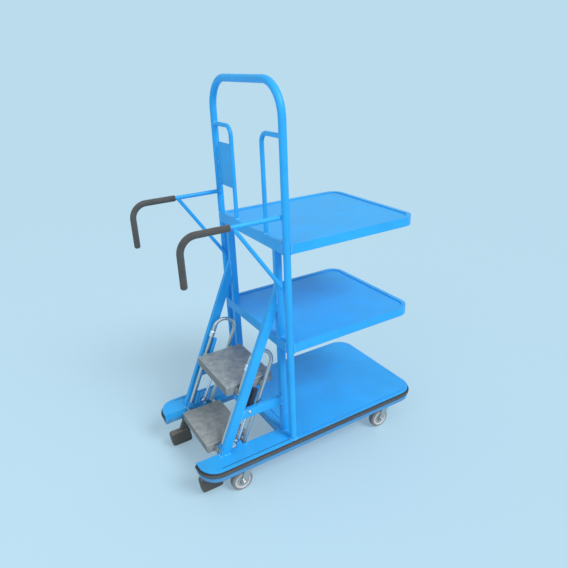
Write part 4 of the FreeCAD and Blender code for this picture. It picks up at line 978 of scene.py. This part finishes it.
class TROLLEY_OT_caps(bpy.types.Operator):
    """Close the ends of the step's hairpins and dress the stringers' collars."""

    bl_idname = "trolley.caps"
    bl_label = "Caps"

    def execute(self, context):
        ends, tops = ([STEP_FRAME @ Matrix.Translation((x, side * STEP_HALF, z)) for side in SIDES.values()]
                      for x, z in ((HAIRPIN_WIDTH, HAIRPIN_END), (0.0, COLLAR_TOP)))
        wide, inner = HAIRPIN + CAP_LIP, HAIRPIN - COLLAR_LAP
        plug = [(0.0, -0.004), (wide * 0.66, -0.0038), (wide * 0.94, -0.0022), (wide, 0.0), (wide, 0.016),
                (wide * 0.92, 0.0172), (0.0, 0.0172)]
        settle(lathe("hairpin_caps", plug, ends, 28), "step_unit", "chrome_plate")
        collar = [(inner, -0.002), (COLLAR + 0.0003, -0.002), (COLLAR + 0.0006, 0.0),
                  (COLLAR - 0.0004, 0.0024), (HAIRPIN + 0.001, 0.0052), (inner, 0.006)]
        noses = lathe("collar_noses", collar, tops, 32)
        noses.data.materials.append(MATERIALS["bright_chrome"])
        settle(noses, "step_unit", "chrome_plate")
        return {"FINISHED"}


class TROLLEY_OT_stage(bpy.types.Operator):
    """Set up floor, background, lights and camera."""

    bl_idname = "trolley.stage"
    bl_label = "Stage"

    def execute(self, context):
        studio = context.scene.trolley_studio
        scene = context.scene
        scene.view_settings.view_transform = "Standard"
        self.floor(studio)
        self.room(scene, studio)
        self.lamps(studio)
        self.camera(scene, studio)
        return {"FINISHED"}

    def seen(self, tree):
        """1 for rays from the camera and through mirrors or glass."""
        path = add(tree, "ShaderNodeLightPath")
        seen = calc(tree, "MAXIMUM", path.outputs["Is Camera Ray"], path.outputs["Is Glossy Ray"])
        return calc(tree, "MAXIMUM", seen, path.outputs["Is Transmission Ray"])

    def floor(self, studio):
        mesh = bpy.data.meshes.new("studio_floor")
        form = bmesh.new()
        bmesh.ops.create_circle(form, cap_ends=True, segments=96, radius=FLOOR_RADIUS)
        form.to_mesh(mesh)
        form.free()
        floor = piece_from("studio_floor", mesh, smooth=False)
        material, tree, shader = surface("studio_floor")
        shader.inputs["Base Color"].default_value = (*scaled(studio.backdrop, FLOOR_SHADE), 1.0)
        shader.inputs["Roughness"].default_value = 0.9
        shader.inputs["Specular IOR Level"].default_value = 0.0
        glow = add(tree, "ShaderNodeEmission")
        glow.inputs["Color"].default_value = (*studio.backdrop, 1.0)
        away = add(tree, "ShaderNodeVectorMath", operation="LENGTH")
        feed(tree, away.inputs[0], local_place(tree))
        far = spread(tree, away.outputs["Value"], *FLOOR_FADE, *FLOOR_GLOW)
        mix = add(tree, "ShaderNodeMixShader")
        feed(tree, mix.inputs[0], times(tree, far, self.seen(tree)))
        feed(tree, mix.inputs[1], shader.outputs[0])
        feed(tree, mix.inputs[2], glow.outputs[0])
        output = next(n for n in tree.nodes if n.type == "OUTPUT_MATERIAL")
        feed(tree, output.inputs["Surface"], mix.outputs[0])
        mesh.materials.append(material)

    def room(self, scene, studio):
        world = bpy.data.worlds.new("studio_room")
        scene.world = world
        world.use_nodes = True
        tree = world.node_tree
        tree.nodes.clear()
        even = add(tree, "ShaderNodeBackground")
        even.inputs["Color"].default_value = (*ROOM_WHITE, 1.0)
        even.inputs["Strength"].default_value = studio.sky
        back = add(tree, "ShaderNodeBackground")
        back.inputs["Color"].default_value = (*studio.backdrop, 1.0)
        mix = add(tree, "ShaderNodeMixShader")
        feed(tree, mix.inputs[0], self.seen(tree))
        feed(tree, mix.inputs[1], even.outputs[0])
        feed(tree, mix.inputs[2], back.outputs[0])
        feed(tree, add(tree, "ShaderNodeOutputWorld").inputs["Surface"], mix.outputs[0])

    def lamps(self, studio):
        key = bpy.data.lights.new("key_light", "SUN")
        key.energy = studio.key
        key.angle = KEY_ANGLE
        fill = bpy.data.lights.new("fill_light", "AREA")
        fill.energy = studio.fill
        fill.size = FILL_SIZE
        for lamp, place in ((key, KEY_PLACE), (fill, FILL_PLACE)):
            holder = bpy.data.objects.new(lamp.name, lamp)
            holder.location = place
            holder.rotation_euler = (LIGHT_AIM - Vector(place)).to_track_quat("-Z", "Y").to_euler()
            bpy.context.scene.collection.objects.link(holder)

    def camera(self, scene, studio):
        yaw, pitch, roll = studio.aim
        back = Vector((math.sin(yaw) * math.cos(pitch), -math.cos(yaw) * math.cos(pitch), math.sin(pitch)))
        level_right = (-back).cross(Vector((0, 0, 1))).normalized()
        level_up = level_right.cross(-back)
        right = level_right * math.cos(roll) + level_up * math.sin(roll)
        up = level_up * math.cos(roll) - level_right * math.sin(roll)
        lens = bpy.data.cameras.new("photo_camera")
        lens.lens = studio.lens
        lens.sensor_width = SENSOR_WIDTH
        holder = bpy.data.objects.new("photo_camera", lens)
        turn = Matrix((right, up, back)).transposed().to_4x4()
        holder.matrix_world = Matrix.Translation(Vector(studio.position) + Vector((UPRIGHT_X, 0, 0))) @ turn
        scene.collection.objects.link(holder)
        scene.camera = holder


STEPS = (TROLLEY_OT_finishes, TROLLEY_OT_tread_plate, TROLLEY_OT_welds, TROLLEY_OT_fasteners,
         TROLLEY_OT_wheels, TROLLEY_OT_caps, TROLLEY_OT_stage)
SETTINGS = {"trolley_finish": TrolleyFinish, "trolley_detail": TrolleyDetail,
            "trolley_studio": TrolleyStudio}


class TROLLEY_PT_panel(bpy.types.Panel):
    """Lists the trolley's steps and settings."""

    bl_label = "Order Picking Trolley"
    bl_idname = "TROLLEY_PT_panel"
    bl_space_type = "VIEW_3D"
    bl_region_type = "UI"
    bl_category = "Trolley"

    def draw(self, context):
        for step in STEPS:
            self.layout.operator(step.bl_idname)
        for name, settings in SETTINGS.items():
            part = self.layout.box()
            for label in settings.__annotations__:
                part.prop(getattr(context.scene, name), label)


def register():
    for item in (*SETTINGS.values(), *STEPS, TROLLEY_PT_panel):
        bpy.utils.register_class(item)
    for name, settings in SETTINGS.items():
        setattr(bpy.types.Scene, name, bpy.props.PointerProperty(type=settings))


def unregister():
    for name in SETTINGS:
        delattr(bpy.types.Scene, name)
    for item in reversed((*SETTINGS.values(), *STEPS, TROLLEY_PT_panel)):
        bpy.utils.unregister_class(item)


def main():
    register()
    for step in STEPS:
        group, name = step.bl_idname.split(".")
        getattr(getattr(bpy.ops, group), name)()


if __name__ == "__main__":
    main()
